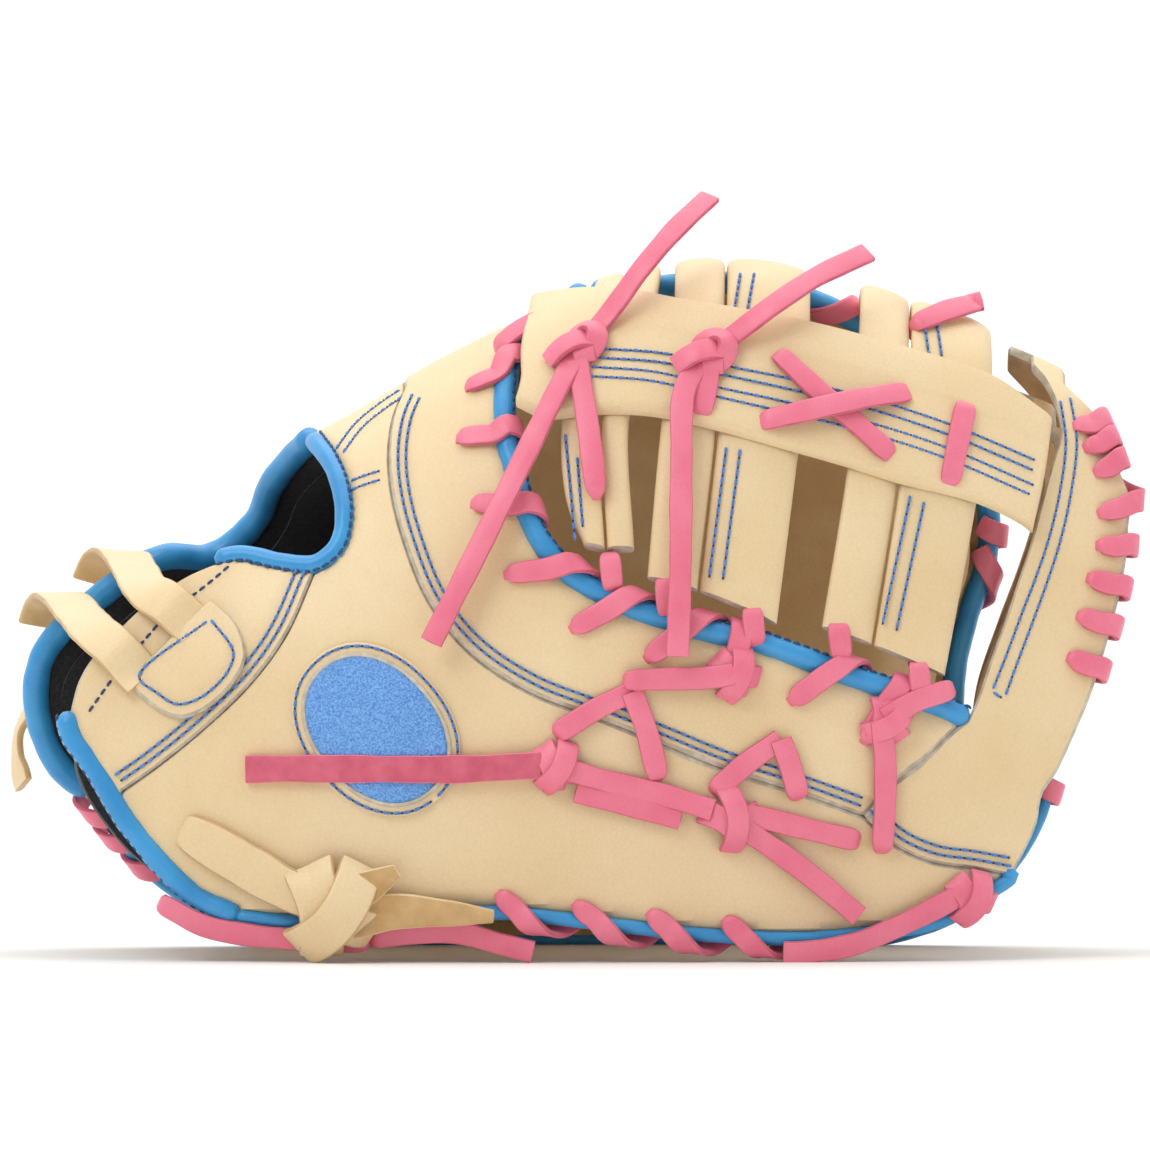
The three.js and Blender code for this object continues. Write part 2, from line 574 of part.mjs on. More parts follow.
// Rolled edges, each with the wider tube that makes room for it in the leather
const ROLLS = [
  { name: "wrist_roll", route: rollRoute(FINGER_WRIST_EDGE, 1), radius: WRIST_ROLL_RADIUS, steps: 20 },
  { name: "finger_hole_roll", route: rollRoute([...HOLE_EDGE].reverse(), -1), radius: HOLE_ROLL_RADIUS, steps: 13 },
  { name: "heel_roll", route: rollRoute(HEEL_EDGE, -1), radius: HEEL_ROLL_RADIUS, steps: 9 },
  { name: "thumb_rim_roll", route: rollRoute(THUMB_RIM, -1), radius: RIM_ROLL_RADIUS, steps: 20 },
  { name: "finger_rim_roll", route: rollRoute(FINGER_RIM, 1), radius: RIM_ROLL_RADIUS, steps: 16 },
  { name: "thumb_edge_roll", route: rollRoute(BOTTOM_EDGE, -1), radius: EDGE_ROLL_RADIUS, steps: 14 },
  { name: "finger_edge_roll", route: rollRoute([...FINGER_HEEL, ...FINGER_BOTTOM.slice(1), ...FINGER_TIP.slice(1)], 1),
    radius: EDGE_ROLL_RADIUS, steps: 18 },
];
const roomAround = (radius) => (radius + CLEARANCE) / Math.cos(Math.PI / ROLL_SIDES);
const rollRoom = joined(ROLLS.map(({ route, radius, steps }) => tube(route, roomAround(radius), steps)));

const everythingAbove = (down) => [[-FAR_AWAY, down], [FAR_AWAY, down], [FAR_AWAY, -FAR_AWAY], [-FAR_AWAY, -FAR_AWAY]];
const aboveFloor = prism(everythingAbove(GRID_FLOOR), -FAR_AWAY, FAR_AWAY);
const thumbHalf = thumbPrism(everythingAbove(FAR_AWAY));
const fingerHalf = fingerPrism(everythingAbove(FAR_AWAY));
for (const { name, route, radius, steps } of ROLLS) {
  const half = route[Math.floor(route.length / 2)].y < 0 ? thumbHalf : fingerHalf;
  addMesh(name, tube(route, radius, steps).intersect(half).intersect(aboveFloor), COLOURS.roll, 0.45);
}

// Back panels: the thumb back is the lowest layer, the others lap over it along their seams
const SKY = 150;
const backWall = wall(constant(0), constant(-SKIN));
const lapWall = wall(constant(OVERLAP_STEP), constant(OVERLAP_STEP - SKIN));
const seams = [WRIST_SEAM, ARC_SEAM, TIP_SEAM, BAND_FOOT]
  .map((seam) => blade(seam, CLEARANCE, -FAR_AWAY, 0))
  .concat(blade(FINGER_TIP_SEAM, CLEARANCE, 0, FAR_AWAY));
const cuts = joined([rollRoom, ...seams]);

const thumbBack = [...HOLE_EDGE.slice(3), [311, SKY], [404, SKY], ...ARC_SEAM, ...TIP_SEAM.slice(1),
  ...BOTTOM_EDGE.slice(1), [235, 915], ...[...HEEL_EDGE].reverse().slice(1, 5), ...[...WRIST_SEAM].reverse()];
addMesh("thumb_back", backWall.intersect(thumbPrism(thumbBack)).subtract(cuts), COLOURS.hide);
const wristPanel = [...WRIST_EDGE, ...HOLE_EDGE.slice(1, 4), ...WRIST_SEAM, ...[...HEEL_EDGE].reverse().slice(5, 9)];
addMesh("wrist_panel", lapWall.intersect(thumbPrism(wristPanel)).subtract(cuts), COLOURS.hide);
const webSidePanel = [[404, SKY], ...ARC_SEAM, ...BAND_FOOT.slice(1), ...[...THUMB_RIM].reverse(), [588, SKY]];
addMesh("web_side_panel", lapWall.intersect(thumbPrism(webSidePanel)).subtract(cuts), COLOURS.hide);
const fingerBack = [...FINGER_WRIST_EDGE, ...FINGER_HEEL, ...FINGER_BOTTOM.slice(1), ...FINGER_TIP_SEAM,
  ...[...FINGER_RIM].reverse().slice(1), [590, SKY], [311, SKY]];
addMesh("finger_back", backWall.intersect(fingerPrism(fingerBack)).subtract(cuts).intersect(aboveFloor), COLOURS.hide);
const tipThumb = [...TIP_SEAM, ...[...TIP_OUTER].reverse(), [1068, SKY], [1034, SKY], ...[...TIP_INNER].reverse(),
  ...[...BAND_FOOT].reverse().slice(1, -1)];
const tipFinger = [...[...FINGER_TIP_SEAM].reverse(), ...FINGER_TIP.slice(2), ...[...TIP_OUTER].reverse().slice(2),
  [1068, SKY], [1012, SKY], ...[...FINGER_TIP_INNER].reverse()];
const tipShape = prism(tipThumb, -FAR_AWAY, HALF_LAP).add(prism(tipFinger, -HALF_LAP, FAR_AWAY));
addMesh("tip_band", lapWall.intersect(tipShape).subtract(cuts), COLOURS.hide);

// Palm: a padded wall in two halves inside the back, close to it at its edges and a hand's room away between them
const EDGE_FADE = 85;
function distanceToLine([across, down], line) {
  return Math.min(...line.slice(1).map((end, i) => {
    const start = line[i];
    const run = [end[0] - start[0], end[1] - start[1]];
    const share = ((across - start[0]) * run[0] + (down - start[1]) * run[1]) / (run[0] ** 2 + run[1] ** 2);
    const t = THREE.MathUtils.clamp(share, 0, 1);
    return Math.hypot(across - start[0] - t * run[0], down - start[1] - t * run[1]);
  }));
}
const hump = (share, middle) => (Math.abs(share - middle) < 0.25 ? Math.cos((share - middle) * 2 * Math.PI) : 0);
function handRoom(across, share) {
  const angle = -FOOT_ANGLE + (Math.PI + 2 * FOOT_ANGLE) * share;
  const z = archPoint(across, angle, 0)[2];
  const down = GRID_FLOOR - (z * GRID_HEIGHT) / HEIGHT;
  const rim = share < 0.5 ? [...THUMB_RIM, ...TIP_INNER] : FINGER_RIM;
  const nearRim = THREE.MathUtils.smoothstep(distanceToLine([across, down], rim), 0, EDGE_FADE);
  const room = columnAt("thumbRoom", across) * hump(share, 0.25) + columnAt("fingerRoom", across) * hump(share, 0.75);
  return HAND_ROOM * (room * nearRim + columnAt("ridgeRoom", across) * hump(share, 0.5));
}
const PALM_GAP = SKIN + LACE_THICKNESS + 3 * CLEARANCE;
const palmOuter = (across, share) => -PALM_GAP - handRoom(across, share);
const palmInner = (across, share) => palmOuter(across, share) - PALM_THICKNESS;
const palmWall = wall(palmOuter, palmInner);
const inset = (line, amount) => {
  const centre = [GRID_MIDDLE, GRID_FLOOR - GRID_HEIGHT / 2];
  return line.map(([across, down]) => {
    const reach = Math.hypot(across - centre[0], down - centre[1]);
    return [across + ((centre[0] - across) * amount) / reach, down + ((centre[1] - down) * amount) / reach];
  });
};
const beside = (line, amount) => line.map(([across, down], i) => {
  const ahead = line[Math.min(line.length - 1, i + 1)];
  const behind = line[Math.max(0, i - 1)];
  const reach = Math.hypot(ahead[0] - behind[0], ahead[1] - behind[1]);
  return [across - (amount * (ahead[1] - behind[1])) / reach, down + (amount * (ahead[0] - behind[0])) / reach];
});
const PALM_SETBACK = 20;
const palmThumb = [[120, SKY], ...PALM_HEEL, ...inset([...BOTTOM_EDGE].reverse().slice(2), 10),
  ...inset([...TIP_OUTER].reverse(), 10), [1058, SKY], [1030, SKY], ...[...TIP_INNER].reverse().slice(1),
  ...beside(THUMB_RIM, PALM_SETBACK).reverse(), [570, SKY]];
const palmFinger = [[120, SKY], ...PALM_HEEL.slice(0, 5), ...inset(FINGER_HEEL.slice(1), 8), [560, 949], [760, 949],
  ...inset([[900, 948], [985, 915], [1040, 845], [1060, 790]], 8), ...inset([...TIP_OUTER].reverse().slice(3), 12),
  [1058, SKY], [1012, SKY], ...[...FINGER_TIP_INNER].reverse().slice(1), [962, 745],
  ...beside(FINGER_RIM, PALM_SETBACK).reverse().slice(1), [570, SKY]];
addMesh("palm_thumb", palmWall.intersect(prism(palmThumb, -FAR_AWAY, -PALM_SEAM / 2)), COLOURS.hide);
addMesh("palm_finger", palmWall.intersect(prism(palmFinger, PALM_SEAM / 2, FAR_AWAY)), COLOURS.hide);

// Lining: a thin black skin under the back around the two openings
const liningWall = wall(constant(-SKIN - CLEARANCE), constant(-SKIN - CLEARANCE - LINING_THICKNESS));
const LINING_THUMB = [[98, 708], [112, 670], [140, 634], [185, 600], [215, 590], [250, 580], [320, 590], [358, 560],
  [368, 515], [362, 480], [350, 450], [345, SKY], [420, SKY], [420, 560], [330, 700], [200, 770], [140, 780], [108, 750]];
const LINING_FINGER = [[345, SKY], [345, 440], [318, 466], [295, 490], [280, 525], [250, 562], [204, 586], [161, 586],
  [140, 598], [102, 630], [72, 656], [55, 690], [55, 735], [75, 765], [110, 800], [200, 860], [420, 860], [420, SKY]];
const liningShape = prism(LINING_THUMB, -FAR_AWAY, HALF_LAP).add(prism(LINING_FINGER, -HALF_LAP, FAR_AWAY));
addMesh("hand_lining", liningWall.intersect(liningShape), COLOURS.lining, 0.9);

// Web: each bar runs from the thumb rim over the ridge to the finger rim
const barWall = wall(constant(BAR_PROUD), constant(BAR_PROUD - BAR_THICKNESS));
const grooveWall = wall(constant(BAR_PROUD + GROOVE_WIDTH), constant(BAR_PROUD - BAR_THICKNESS / 3));
const behindBars = prism([[-FAR_AWAY, SKY], [BAR_ENDS[0][0], SKY], ...BAR_ENDS, [BAR_ENDS.at(-1)[0], FAR_AWAY],
  [-FAR_AWAY, FAR_AWAY]], -CLEARANCE / 2, FAR_AWAY);
BARS.forEach(({ outline, groove }, i) => {
  const shape = prism(outline, -FAR_AWAY, FAR_AWAY).subtract(behindBars);
  const furrow = grooveWall.intersect(blade(groove, GROOVE_WIDTH, -FAR_AWAY, 0));
  const solid = barWall.intersect(shape).subtract(furrow).subtract(rollRoom);
  addMesh(`web_bar_${i + 1}`, solid, COLOURS.hide);
});
const POST_BASE = BAR_PROUD + CLEARANCE;
const POST_TOP = POST_BASE + POST_THICKNESS;
const postWall = wall(constant(POST_TOP), constant(POST_BASE));
addMesh("web_post", postWall.intersect(thumbPrism(POST)), COLOURS.hide);

// Whip laces
const tipRadius = SKIN / 2 + 4 * CLEARANCE;
addMesh("thumb_rim_lace", whipLace(THUMB_RIM_TURNS, -1, RIM_ROLL_RADIUS, rollRoute(THUMB_RIM, -1)), COLOURS.lace);
addMesh("finger_rim_lace", whipLace(FINGER_RIM_TURNS, 1, RIM_ROLL_RADIUS, rollRoute(FINGER_RIM, 1)), COLOURS.lace);
addMesh("edge_lace", whipLace(EDGE_TURNS, -1, EDGE_ROLL_RADIUS, rollRoute(BOTTOM_EDGE, -1)).intersect(aboveFloor),
  COLOURS.lace);
const tipMiddle = OVERLAP_STEP - SKIN / 2;
const tipLine = inset(TIP_OUTER.slice(1), 5).map(([across, down]) => overShell([across, down, tipMiddle], -1));
addMesh("tip_lace", whipLace(TIP_TURNS, -1, tipRadius, tipLine), COLOURS.lace);

// Ties across the post
POST_TIES.forEach(({ knot: place, tails }, i) => {
  const lump = knot(place, -1, POST_KNOT_SIZE, POST_TOP - KNOT_SINK);
  const bands = tails.map((tail) => laidBand(tail, -1, POST_TOP));
  addMesh(`post_tie_${i + 1}`, joined([lump, ...bands]), COLOURS.lace);
});
CROSS_LACES.forEach((route, i) => addMesh(`cross_lace_${i + 1}`, laidBand(route, -1, POST_TOP), COLOURS.lace));
addMesh("straight_lace", laidBand(STRAIGHT_LACE, -1, POST_TOP), COLOURS.lace);
addMesh("top_tail", laidBand(TOP_TAIL, -1, BAR_PROUD), COLOURS.lace);

// Ties on the thumb side
const sideTie = [laidBand(LONG_LACE, -1, 0, LONG_LACE_WIDTH),
  ...[MAIN_LACE, ...MAIN_TAILS, LOWER_LACE].map((row) => laidBand(row, -1, 0)),
  ...LACE_KNOTS.map((place) => knot(place, -1, SIDE_KNOT_SIZE, CLEARANCE))];
addMesh("side_tie", joined(sideTie), COLOURS.lace);
CHEVRONS.forEach((route, i) => addMesh(`chevron_lace_${i + 1}`, laidBand(route, -1, OVERLAP_STEP), COLOURS.lace));

// Straps, tab and ties in hide
const tabBase = OVERLAP_STEP + CLEARANCE;
const tabWall = wall(constant(tabBase + STRAP_THICKNESS), constant(tabBase));
addMesh("pull_tab", tabWall.intersect(thumbPrism(TAB)), COLOURS.hide);

const STRAP_STEPS = 14;
const routeThroughRoom = (route) => new THREE.CatmullRomCurve3(
  route.map(([across, down, y]) => new THREE.Vector3(alongOf(across), y, heightOf(down))), false, "centripetal");
STRAPS.forEach((route, i) => {
  const points = routeThroughRoom(route).getSpacedPoints(STRAP_STEPS);
  const widthways = points.map((point, n) => {
    const run = points[Math.min(STRAP_STEPS, n + 1)].clone().sub(points[Math.max(0, n - 1)]).normalize();
    const up = new THREE.Vector3(-0.2, (2.5 * point.y) / FINGER_DEPTH, 0.7);
    return new THREE.Vector3().crossVectors(up, run).normalize();
  });
  addMesh(`pull_strap_${i + 1}`, band(points, widthways, STRAP_WIDTH, STRAP_THICKNESS), COLOURS.hide);
});
const littleTie = routeThroughRoom(LITTLE_FINGER_TIE).getSpacedPoints(STRAP_STEPS / 2);
const littleTieWidthways = littleTie.map(() => new THREE.Vector3(0, 1, 0.3));
addMesh("little_finger_tie", band(littleTie, littleTieWidthways, TIE_WIDTH, TIE_THICKNESS), COLOURS.hide);

const tieParts = [laidBand(THUMB_TIE, -1, 0, TIE_WIDTH, TIE_THICKNESS),
  ...THUMB_TIE_TAILS.map((row) => laidBand(row, -1, 0, TIE_WIDTH, TIE_THICKNESS)),
  knot(THUMB_TIE_KNOT, -1, TIE_KNOT_SIZE, TIE_THICKNESS + CLEARANCE)];
addMesh("thumb_tie", joined(tieParts).intersect(aboveFloor), COLOURS.hide);
BOTTOM_LACES.forEach((route, i) => addMesh(`bottom_lace_${i + 1}`, laidBand(route, -1, 0).intersect(aboveFloor),
  COLOURS.lace));
const tipTie = [laidBand(TIP_LACE, -1, 0), knot(TIP_KNOT, -1, TIP_KNOT_SIZE, LACE_THICKNESS)];
addMesh("tip_tie", joined(tipTie).intersect(aboveFloor), COLOURS.lace);
const overLace = OVERLAP_STEP + LACE_THICKNESS + 3 * CLEARANCE;
const rimTie = [laidBand(RIM_TIE, -1, OVERLAP_STEP), knot(RIM_TIE_KNOT, -1, RIM_KNOT_SIZE, overLace)];
addMesh("rim_tie", joined(rimTie), COLOURS.lace);
const bandTie = [BAND_TIE, BAND_LACE].map((row) => laidBand(row, -1, OVERLAP_STEP));
addMesh("band_tie", joined([...bandTie, knot(BAND_TIE_KNOT, -1, BAND_KNOT_SIZE, overLace)]), COLOURS.lace);

// Oval patch: a leather oval with an embroidered field
function oval(length, width) {
  return Array.from({ length: PATCH_SIDES }, (unused, i) => {
    const angle = (2 * Math.PI * i) / PATCH_SIDES;
    const along = (length / 2) * Math.cos(angle);
    const over = (width / 2) * Math.sin(angle);
    const x = along * Math.cos(PATCH_TILT) + over * Math.sin(PATCH_TILT);
    const z = -along * Math.sin(PATCH_TILT) + over * Math.cos(PATCH_TILT);
    return [PATCH_CENTRE[0] + (x * GRID_LENGTH) / LENGTH, PATCH_CENTRE[1] - (z * GRID_HEIGHT) / HEIGHT];
  });
}
const patchTop = CLEARANCE + PATCH_THICKNESS;
const patchShape = thumbPrism(oval(PATCH_LENGTH, PATCH_WIDTH));
const fieldShape = thumbPrism(oval(PATCH_LENGTH - 2 * PATCH_MARGIN, PATCH_WIDTH - 2 * PATCH_MARGIN));
addMesh("oval_patch", wall(constant(patchTop), constant(CLEARANCE)).intersect(patchShape), COLOURS.hide);
const fieldWall = wall(constant(patchTop + CLEARANCE + THREAD_THICKNESS), constant(patchTop + CLEARANCE));
addMesh("embroidered_field", fieldWall.intersect(fieldShape), COLOURS.thread, 0.8);

// The box of the whole mitt stands with its bottom middle on the origin
const box = new THREE.Box3().setFromObject(mitt);
mitt.position.set(-(box.min.x + box.max.x) / 2, -(box.min.y + box.max.y) / 2, 0);

export default mitt;
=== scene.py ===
# %% [markdown]
# # A first base mitt for softball
# A fielder's mitt is cut from flat pieces of cowhide that are sewn into a shell, turned, bound with rolled
# edges and laced together with rawhide. Lying on its open pocket it is an arch: a thumb side, a ridge
# along the top and a finger side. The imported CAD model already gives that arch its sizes, so this script
# loads it as a fixed frame and dresses it: every leather piece follows the same arch formula.

import bpy
import numpy as np
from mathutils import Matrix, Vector
from mathutils.geometry import delaunay_2d_cdt


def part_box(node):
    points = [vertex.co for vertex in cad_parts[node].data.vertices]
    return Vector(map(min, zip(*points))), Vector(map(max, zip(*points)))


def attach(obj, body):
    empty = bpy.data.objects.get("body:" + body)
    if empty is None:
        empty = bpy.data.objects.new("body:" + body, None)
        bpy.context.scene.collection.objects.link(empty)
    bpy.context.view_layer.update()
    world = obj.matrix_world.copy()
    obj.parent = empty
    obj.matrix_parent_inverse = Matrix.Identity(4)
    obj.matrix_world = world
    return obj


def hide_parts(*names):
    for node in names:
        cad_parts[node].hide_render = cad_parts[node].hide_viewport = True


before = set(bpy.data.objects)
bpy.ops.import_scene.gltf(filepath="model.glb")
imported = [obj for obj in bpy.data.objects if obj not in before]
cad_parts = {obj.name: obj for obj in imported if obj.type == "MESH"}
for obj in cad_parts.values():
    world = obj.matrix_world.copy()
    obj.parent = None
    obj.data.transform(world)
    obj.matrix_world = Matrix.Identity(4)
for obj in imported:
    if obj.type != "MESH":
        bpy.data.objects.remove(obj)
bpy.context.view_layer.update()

# %% [markdown]
# The mitt is drawn on a grid over its side view: how far across, and how far down from the top. Four sizes
# turn the grid into millimetres. A table of cross-sections holds the height of the ridge and how far each
# side reaches, as shares of the two depths. A cubic through the rows gives the values between them.

# %% Sizes and cross-sections
LENGTH = 330
HEIGHT = 204
THUMB_DEPTH = 64
FINGER_DEPTH = 78
SKIN = 3
STEP = 1
CLEARANCE = 0.35
LACE_WIDTH = 6.6
LACE_THICKNESS = 1.9
GRID_LENGTH = 1134
GRID_HEIGHT = 703
GRID_MIDDLE = 575
GRID_FLOOR = 961
UNIT = LENGTH / GRID_LENGTH
SECTIONS = {
    "across": [-25, 60, 180, 315, 450, 600, 740, 900, 1040, 1120, 1180],
    "ridge": [520, 500, 482, 434, 357, 292, 272, 308, 360, 406, 444],
    "thumb": [0.62, 0.7, 0.84, 0.94, 1, 1, 0.95, 0.83, 0.66, 0.55, 0.47],
    "finger": [0.54, 0.62, 0.74, 0.86, 0.95, 1, 0.99, 0.9, 0.74, 0.6, 0.5],
    "thumb_room": [0.6, 0.75, 0.9, 0.95, 0.85, 0.65, 0.45, 0.3, 0.15, 0.12, 0.12],
    "ridge_room": [1.9, 1.8, 1.7, 1.3, 0.6, 0.3, 0.25, 0.25, 0.2, 0.15, 0.15],
    "finger_room": [0.7, 0.8, 0.95, 1, 0.95, 0.85, 0.7, 0.45, 0.2, 0.15, 0.15],
}
BELLY_SHARE = 0.3
ROUNDNESS = 2.2
FOOT_ANGLE = np.radians(27)
THUMB = -1
FINGER = 1


def along_of(across):
    """Millimetres along the mitt: the distance from the grid's middle times the unit."""
    return (np.asarray(across, float) - GRID_MIDDLE) * UNIT


def height_of(down):
    """Millimetres above the floor: the distance up from the grid's floor times its own unit."""
    return (GRID_FLOOR - np.asarray(down, float)) * HEIGHT / GRID_HEIGHT


def column(name, across):
    """A column of the table between its rows: the straight step plus a bend that meets the rows' slopes."""
    rows, values = np.array(SECTIONS["across"], float), np.array(SECTIONS[name], float)
    before, after = np.r_[0, : len(rows) - 1], np.r_[1 : len(rows), len(rows) - 1]
    slope = (values[after] - values[before]) / (rows[after] - rows[before])
    i = np.clip(np.searchsorted(rows, across) - 1, 0, len(rows) - 2)
    step, rise = rows[i + 1] - rows[i], values[i + 1] - values[i]
    t = np.clip((across - rows[i]) / step, 0, 1)
    bend = (slope[i] * step - rise) * (1 - t) + (rise - slope[i + 1] * step) * t
    return values[i] + rise * t + bend * t * (1 - t)


# %% [markdown]
# Each cross-section is a rounded arch, a squarish ellipse: wide at a belly a third of the way up, closed
# at the ridge, and drawn in again at the foot. It is read in two ways. By angle it has no crease at the
# ridge, which suits panels. By height on one side it takes places straight from the side view.


# %% The arch
def arch(across, side, lift):
    """Belly height, rise above it and reach to the side, the last two grown by the lift."""
    ridge = height_of(column("ridge", across))
    thumb, finger = THUMB_DEPTH * column("thumb", across), FINGER_DEPTH * column("finger", across)
    belly = BELLY_SHARE * ridge
    return belly, ridge + lift - belly, np.where(np.asarray(side) < 0, thumb, finger) + lift


def by_angle(across, angle, lift):
    """Reach times the cosine and rise times the sine of the angle, each to the power two over roundness."""
    across, angle, lift = np.broadcast_arrays(*(np.asarray(v, float) for v in (across, angle, lift)))
    side = np.where(np.cos(angle) > 0, THUMB, FINGER)
    belly, rise, reach = arch(across, side, lift)
    power = 2 / ROUNDNESS
    y = side * reach * np.abs(np.cos(angle)) ** power
    z = belly + rise * np.sign(np.sin(angle)) * np.abs(np.sin(angle)) ** power
    return np.stack([along_of(across), y, z], -1)


def angle_of(across, down, side):
    """The angle whose sine to that power is the share of the rise: the arch formula turned round."""
    belly, rise, _ = arch(np.asarray(across, float), side, 0)
    share = np.clip((height_of(down) - belly) / rise, -1, 1)
    turn = np.arcsin(np.sign(share) * np.abs(share) ** (ROUNDNESS / 2))
    return turn if side < 0 else np.pi - turn


def on_shell(across, down, lift, side):
    """The place over a side view's point: its reach is what the squarish ellipse leaves at that height."""
    across, down, lift = np.broadcast_arrays(*(np.asarray(v, float) for v in (across, down, lift)))
    belly, rise, reach = arch(across, side, lift)
    z = height_of(down)
    share = np.minimum(1, np.abs((z - belly) / rise))
    y = side * reach * (1 - share**ROUNDNESS) ** (1 / ROUNDNESS)
    return np.stack([along_of(across), y, z], -1)


def unit(v):
    """Each row divided by its length."""
    return v / np.maximum(np.linalg.norm(v, axis=-1, keepdims=True), 1e-9)


def outwards(across, down, side):
    """The leather's outward direction: the cross product of a small step up and a small step along it."""
    here = on_shell(across, down, 0, side)
    along = on_shell(np.asarray(across) + 4, down, 0, side) - here
    up = on_shell(across, np.asarray(down) - 4, 0, side) - here
    return unit(np.cross(up, along) * side)


def curve(line, step):
    """A smooth curve through the rows, re-spaced evenly: cubic pieces, each with its rows' slopes."""
    p = np.asarray(line, float)
    p = np.vstack([2 * p[0] - p[1], p, 2 * p[-1] - p[-2]])
    t = np.r_[0, np.cumsum(np.sqrt(np.maximum(np.linalg.norm(np.diff(p, axis=0), axis=1), 1e-6)))]
    i = np.arange(1, len(p) - 1)
    slope = lambda a, b: (p[b] - p[a]) / (t[b] - t[a])[:, None]
    m = slope(i - 1, i) - slope(i - 1, i + 1) + slope(i, i + 1)
    s = np.linspace(t[1], t[-2], 30 * len(p))
    i = np.clip(np.searchsorted(t, s, side="right") - 1, 1, len(p) - 3)
    h = (t[i + 1] - t[i])[:, None]
    u = (s - t[i])[:, None] / h
    fine = (2 * u**3 - 3 * u**2 + 1) * p[i] + (u**3 - 2 * u**2 + u) * h * m[i - 1]
    fine += (3 * u**2 - 2 * u**3) * p[i + 1] + (u**3 - u**2) * h * m[i]
    run = np.r_[0, np.cumsum(np.linalg.norm(np.diff(fine, axis=0), axis=1))]
    at = np.linspace(0, run[-1], max(2, int(round(run[-1] / step)) + 1))
    return np.stack([np.interp(at, run, fine[:, k]) for k in range(p.shape[1])], 1)


def beside(line, amount):
    """The line moved sideways: each point goes across its own direction, to the right of the way it runs."""
    p = np.asarray(line, float)
    run = unit(np.gradient(p, axis=0))
    return p + amount * np.stack([-run[:, 1], run[:, 0]], 1)


PATCH_PLACE = (377, 728)
patch_low, patch_high = (1000 * np.array(v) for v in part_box("oval_patch"))
back_far_side = 1000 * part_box("thumb_back")[1][1]
patch_middle = (patch_low[0] + patch_high[0]) / 2
SHIFT = np.array([patch_middle - along_of(PATCH_PLACE[0]), back_far_side + CLEARANCE / 2, 0])
print("shift of the packed model in mm", SHIFT.round(3))

# %% [markdown]
# One function puts arrays of points and faces into a mesh. Points come in millimetres on the arch's own
# axes and leave in metres in the frame. Each vertex may carry its "way", the millimetres along and around
# its strip, so that creases can follow a lace wherever it goes.


# %% From arrays to meshes
def put(name, points, faces, materials, nodes=(), marks=None, way=None, sharp=None):
    """Fills a new mesh in one go: all corners of all faces in a row, and where each face begins."""
    mesh = bpy.data.meshes.new(name)
    faces = [np.asarray(f) for f in faces if len(f)]
    sizes = np.concatenate([np.full(len(f), f.shape[1]) for f in faces])
    corners = np.concatenate([f.ravel() for f in faces])
    mesh.vertices.add(len(points))
    mesh.vertices.foreach_set("co", ((points + SHIFT) / 1000).astype(np.float32).ravel())
    mesh.loops.add(len(corners))
    mesh.loops.foreach_set("vertex_index", corners.astype(np.int32))
    mesh.polygons.add(len(sizes))
    mesh.polygons.foreach_set("loop_start", np.r_[0, np.cumsum(sizes)[:-1]].astype(np.int32))
    for material in materials:
        mesh.materials.append(material)
    if marks is not None:
        mesh.polygons.foreach_set("material_index", np.asarray(marks, np.int32))
    if way is not None:
        layer = mesh.attributes.new("way", "FLOAT_VECTOR", "POINT")
        layer.data.foreach_set("vector", np.asarray(way, np.float32).ravel())
    mesh.update(calc_edges=True)
    mesh.validate()
    mesh.polygons.foreach_set("use_smooth", np.ones(len(mesh.polygons), bool))
    if sharp:
        mesh.set_sharp_from_angle(angle=np.radians(sharp))
    piece = bpy.data.objects.new(name, mesh)
    bpy.context.scene.collection.objects.link(piece)
    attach(piece, "root")
    if nodes:
        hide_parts(*nodes)
    print(name, len(sizes), "faces")
    return piece


def rings_to_faces(rings, size, start=0):
    """Quads between neighbouring rings of a closed tube, and a fan of triangles at each end."""
    r, i = np.meshgrid(np.arange(rings - 1), np.arange(size), indexing="ij")
    a, b = start + r * size + i, start + r * size + (i + 1) % size
    quads = np.stack([a, b, b + size, a + size], -1).reshape(-1, 4)
    i = np.arange(size)
    first, last = start + rings * size, start + rings * size + 1
    head = np.stack([np.full(size, first), start + (i + 1) % size, start + i], 1)
    end = start + (rings - 1) * size
    tail = np.stack([np.full(size, last), end + i, end + (i + 1) % size], 1)
    return quads, np.vstack([head, tail])


# %% [markdown]
# Materials come first, each named for what it is. A colour is written as a web colour and turned to linear
# light. One helper adds a node; everything else is a list of such nodes. Patterns read Object coordinates,
# or the strip's own way, and every scale is one over a real size.


# %% Colours and nodes
def linear(code, alpha=1.0):
    """sRGB to linear: the toe is a twelfth and a bit, the rest a power of 2.4."""
    part = np.array([int(code[i : i + 2], 16) for i in (1, 3, 5)]) / 255
    part = np.where(part <= 0.04045, part / 12.92, ((part + 0.055) / 1.055) ** 2.4)
    return (*part.tolist(), alpha)


def node(tree, kind, inputs=None, **settings):
    """Adds one node: settings are its options, inputs are numbers, colours or other nodes' outputs."""
    made = tree.nodes.new(kind)
    for key, value in settings.items():
        setattr(made, key, value)
    for socket, value in (inputs or {}).items():
        if isinstance(value, bpy.types.NodeSocket):
            tree.links.new(value, made.inputs[socket])
        else:
            made.inputs[socket].default_value = value
    return made


def surface(name, **sockets):
    """A new material with one Principled shader; the values given are set on its own sockets."""
    material = bpy.data.materials.new(name)
    material.use_nodes = True
    tree = material.node_tree
    tree.nodes.clear()
    shader = node(tree, "ShaderNodeBsdfPrincipled", {k.replace("_", " "): v for k, v in sockets.items()})
    node(tree, "ShaderNodeOutputMaterial", {"Surface": shader.outputs[0]})
    return material, tree, shader


